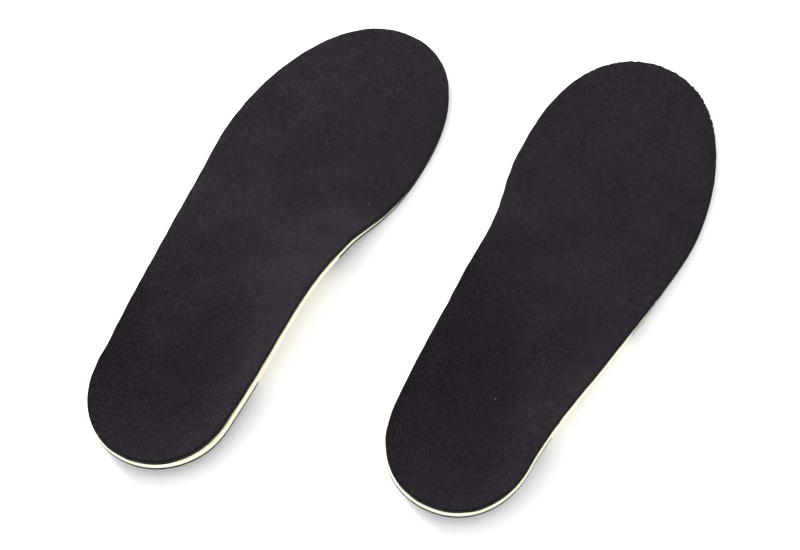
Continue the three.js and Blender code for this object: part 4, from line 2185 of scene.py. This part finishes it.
def cut_outline(outline: np.ndarray, line: Line, ahead: bool, pitch: float = 1.0) -> np.ndarray:
    """The part of a closed outline on one side of a line, closed along the line.

    Args:
        outline: (n, 2) points, anticlockwise.
        line: the line that cuts it.
        ahead: whether the part ahead of the line is kept.
        pitch: distance between the points along the cut.

    Returns:
        The points of the kept part, anticlockwise.
    """
    far = line.distance(outline) * (1 if ahead else -1)
    kept = far > 0
    first = int(np.flatnonzero(kept & ~np.roll(kept, 1))[0])
    far, outline, kept = (np.roll(v, -first, axis=0) for v in (far, outline, kept))
    count = int(np.count_nonzero(kept))

    def crossing(i: int, j: int) -> np.ndarray:
        """Where the outline crosses the line between two of its points."""
        t = far[i] / (far[i] - far[j])
        return outline[i] * (1 - t) + outline[j] * t

    last, start = crossing(count - 1, count), crossing(0, -1)
    steps = max(2, round(float(np.linalg.norm(start - last)) / pitch))
    t = np.linspace(0, 1, steps, endpoint=False)[:, None]
    return np.vstack([outline[:count], last * (1 - t) + start * t, start])


@dataclass
class FoamBed(Piece):
    """The cream foam bed, moulded round the shell, the pad and the lining.

    Attributes:
        pitch: distance between the points of its mesh, in millimetres.
        soft_edge: rounding along its side.
        bulge: how much its side swells, in millimetres.
        swell_height: how tall the side is where it swells fully.
        step: how wide a step in its underside is, in plan.
        bonded: gap over the shell and the lining.
        reach: half width over which the steps are laid.
        shoulder: how many steps each rounding takes.
    """

    pitch: float = 1.6
    soft_edge: float = 0.55
    bulge: float = 0.15
    swell_height: float = 4
    step: float = 0.12
    bonded: float = 0.03
    reach: float = 70
    shoulder: int = 3

    def build(self, shell: HeelShell, pad: HeelPad, lining: Lining) -> bpy.types.Object:
        """Makes the foam bed.

        Args:
            shell: the shell that it sits in.
            pad: the pad let into it.
            lining: the lining bonded under its front.

        Returns:
            The object.
        """
        wings = shell.outline(shell.gap)
        room = pad.outline(shell.gap)
        start = self.shape.lining_start

        def back(plan: np.ndarray) -> np.ndarray:
            """Height of the underside, stepped over the shell, the lining and the pad.

            Args:
                plan: (n, 2) points.

            Returns:
                One height for each point.
            """
            height = self.shape.underside(plan)
            shelled = inside(plan, wings)
            covered = start.distance(plan) > -shell.gap
            height = np.where(shelled, shell.face(plan) + self.bonded, height)
            height = np.where(covered, lining.face(plan) + self.bonded, height)
            padded = inside(plan, room)
            return np.where(padded, pad.recess + pad.thickness + shell.gap, height)

        rim = self.shape.rim(1.0)
        outline = cut_outline(rim, self.shape.foam_end, ahead=False)
        face = self.blank_top
        solid = PlanSolid(
            face,
            back,
            [Boundary.swept(outline, self.side_levels(outline, face, back))],
            self.pitch,
            self.steps(wings, room, shell.gap),
        )
        piece = self.made("foam_bed", solid, self.finishes.cream, "cream_foam")
        return self.as_block(piece, "foam_bed")

    def steps(self, wings: np.ndarray, room: np.ndarray, gap: float) -> np.ndarray:
        """Plan points on both sides of every step in the foam's underside.

        Args:
            wings: outline of the shell's room.
            room: outline of the pad's room.
            gap: how far behind the lining its room starts.

        Returns:
            (n, 2) points.
        """
        start = self.shape.lining_start
        made = []
        for outline in (wings, room):
            away = outward(outline)
            made += [outline + away * self.step / 2, outline - away * self.step / 2]
        x = np.arange(-self.reach, self.reach, 0.9)
        line = np.column_stack([x, start.at + x * math.tan(math.radians(start.slant))])
        line = line - start.ahead * gap
        made += [line + start.ahead * self.step / 2, line - start.ahead * self.step / 2]
        return np.vstack(made)

    def side_levels(
        self, outline: np.ndarray, face: Heights, back: Heights
    ) -> list[Level]:
        """Levels of the foam's side: a soft shoulder, a slight swell and a soft foot.

        Args:
            outline: the foam's plan.
            face: height of its top.
            back: height of its underside.

        Returns:
            Levels for Boundary.swept.
        """
        out = self.shape.proud(self.shape.locate(outline))
        upper = face(outline)
        tall = upper - back(outline + outward(outline) * (out - 0.05)[:, None])
        soft = np.minimum(self.soft_edge, 0.4 * np.maximum(tall, 0.1))
        swell = self.bulge * np.clip(tall / self.swell_height, 0, 1)

        def at(share: float, lift: np.ndarray | float = 0.0) -> Heights:
            """A height part of the way down the side, raised by a lift."""
            return lambda plan: upper - tall * share + lift

        made: list[Level] = [(out - soft, face)]
        angles = [math.pi / 2 * step / self.shoulder for step in range(1, self.shoulder + 1)]
        for angle in angles:
            made.append((out - soft * (1 - math.sin(angle)), at(0, -soft * (1 - math.cos(angle)))))
        for share in (0.35, 0.5, 0.65):
            made.append((out + swell * math.sin(math.pi * share), at(share)))
        for angle in reversed(angles):
            made.append((out - soft * (1 - math.sin(angle)), at(1, soft * (1 - math.cos(angle)))))
        made.append((out - soft, back))
        return made


# ---------------------------------------------------------------------------------------------
# The pair and its studio
# ---------------------------------------------------------------------------------------------


@dataclass
class Insole:
    """Attributes:
        foot: which insole it is.
        shape: its shape.
        finishes: the pair's materials.
        cover_area: of the cover, in square metres.
    """

    foot: Foot
    shape: InsoleShape
    finishes: Finishes
    cover_area: float = 0.0203

    def build(self) -> None:
        """Makes every piece."""
        placement = Placement.from_frame(self.foot, self.shape)
        parts = (self.shape, placement, self.finishes)
        shell, pad, lining = HeelShell(*parts), HeelPad(*parts), Lining(*parts)
        forefoot_pad = ForefootPad(*parts)
        made = {
            "heel pad": pad.build(),
            "heel shell": shell.build(pad),
            "lining": lining.build(),
            "foam bed": FoamBed(*parts).build(shell, pad, lining),
            "forefoot pad": forefoot_pad.build(),
            "cushion": CushionLayer(*parts).build(forefoot_pad),
            "top cover": TopCover(*parts).build(ClothSettling(self.shape).moves(self.foot)),
        }
        self.declare()
        for name, piece in made.items():
            LOG.info("%s %s: %d faces", self.foot.value, name, len(piece.data.polygons))

    def declare(self) -> None:
        """Works out the forefoot's length and does nothing with it.
        """
        forefoot = (self.shape.length - self.shape.lining_start.at) * MM


@dataclass
class Studio:
    """A pale floor under soft light, and the camera.

    Attributes:
        target: the point that the camera looks at, in metres.
        azimuth: the camera's direction round the pair, in degrees.
        elevation: its height over the horizon, in degrees.
        distance: from the target, in metres.
        lens: focal length, in millimetres.
        sensor: width of the sensor, in millimetres.
        ambient: strength of the even white surround.
        key_at: where the lamp stands, in metres.
        key_size: the lamp's side, in metres.
        key_power: the lamp's power, in watts.
        floor_colour: of the floor.
        floor_half: half the floor's side, in metres.
        floor_drop: how far the floor lies under the soles, in millimetres.
    """

    target: tuple[float, float, float] = (-0.0019, -0.0108, 0.0)
    azimuth: float = 27.11
    elevation: float = 58.92
    distance: float = 0.8673
    lens: float = 83.17
    sensor: float = 36
    ambient: float = 1.5
    key_at: tuple[float, float, float] = (-0.8, 0.35, 0.52)
    key_size: float = 0.6
    key_power: float = 18
    floor_colour: Colour = (0.86, 0.86, 0.865)
    floor_half: float = 4.0
    floor_drop: float = 0.02

    def build(self) -> None:
        """Makes the floor, the light and the camera."""
        self.make_floor()
        self.make_lights()
        self.make_camera()

    def make_floor(self) -> None:
        """Makes a large plain floor."""
        mesh = bpy.data.meshes.new("floor")
        half = self.floor_half
        corners = [(-half, -half, 0), (half, -half, 0), (half, half, 0), (-half, half, 0)]
        mesh.from_pydata(corners, [], [(0, 1, 2, 3)])
        floor = bpy.data.objects.new("floor", mesh)
        floor.location.z = -self.floor_drop * MM
        bpy.context.scene.collection.objects.link(floor)
        material = bpy.data.materials.new("pale_floor")
        material.use_nodes = True
        shader = material.node_tree.nodes["Principled BSDF"]
        shader.inputs["Base Color"].default_value = (*self.floor_colour, 1)
        shader.inputs["Roughness"].default_value = 0.8
        shader.inputs["Specular IOR Level"].default_value = 0.1
        mesh.materials.append(material)

    def make_lights(self) -> None:
        """Makes an even white surround and a soft lamp that faces the pair."""
        scene = bpy.context.scene
        world = bpy.data.worlds.new("studio")
        world.use_nodes = True
        background = world.node_tree.nodes["Background"]
        background.inputs["Color"].default_value = (1, 1, 1, 1)
        background.inputs["Strength"].default_value = self.ambient
        scene.world = world
        scene.view_settings.view_transform = "Standard"
        light = bpy.data.lights.new("key", "AREA")
        light.size = self.key_size
        light.energy = self.key_power
        lamp = bpy.data.objects.new("key", light)
        lamp.location = self.key_at
        lamp.rotation_euler = (-Vector(self.key_at)).to_track_quat("-Z", "Y").to_euler()
        scene.collection.objects.link(lamp)

    def make_camera(self) -> None:
        """Makes the camera, at its angle round the pair."""
        data = bpy.data.cameras.new("camera")
        data.lens = self.lens
        data.sensor_width = self.sensor
        camera = bpy.data.objects.new("camera", data)
        turn, rise = math.radians(self.azimuth), math.radians(self.elevation)
        back = Vector((
            math.sin(turn) * math.cos(rise),
            -math.cos(turn) * math.cos(rise),
            math.sin(rise),
        ))
        camera.location = Vector(self.target) + back * self.distance
        camera.rotation_euler = (-back).to_track_quat("-Z", "Y").to_euler()
        bpy.context.scene.collection.objects.link(camera)
        bpy.context.scene.camera = camera


def main() -> None:
    """Builds the studio and both insoles."""
    logging.basicConfig(level=logging.INFO, format="%(name)s: %(message)s")
    Studio().build()
    shape = InsoleShape()
    finishes = Finishes()
    for foot in Foot:
        Insole(foot, shape, finishes).build()


if __name__ == "__main__":
    main()
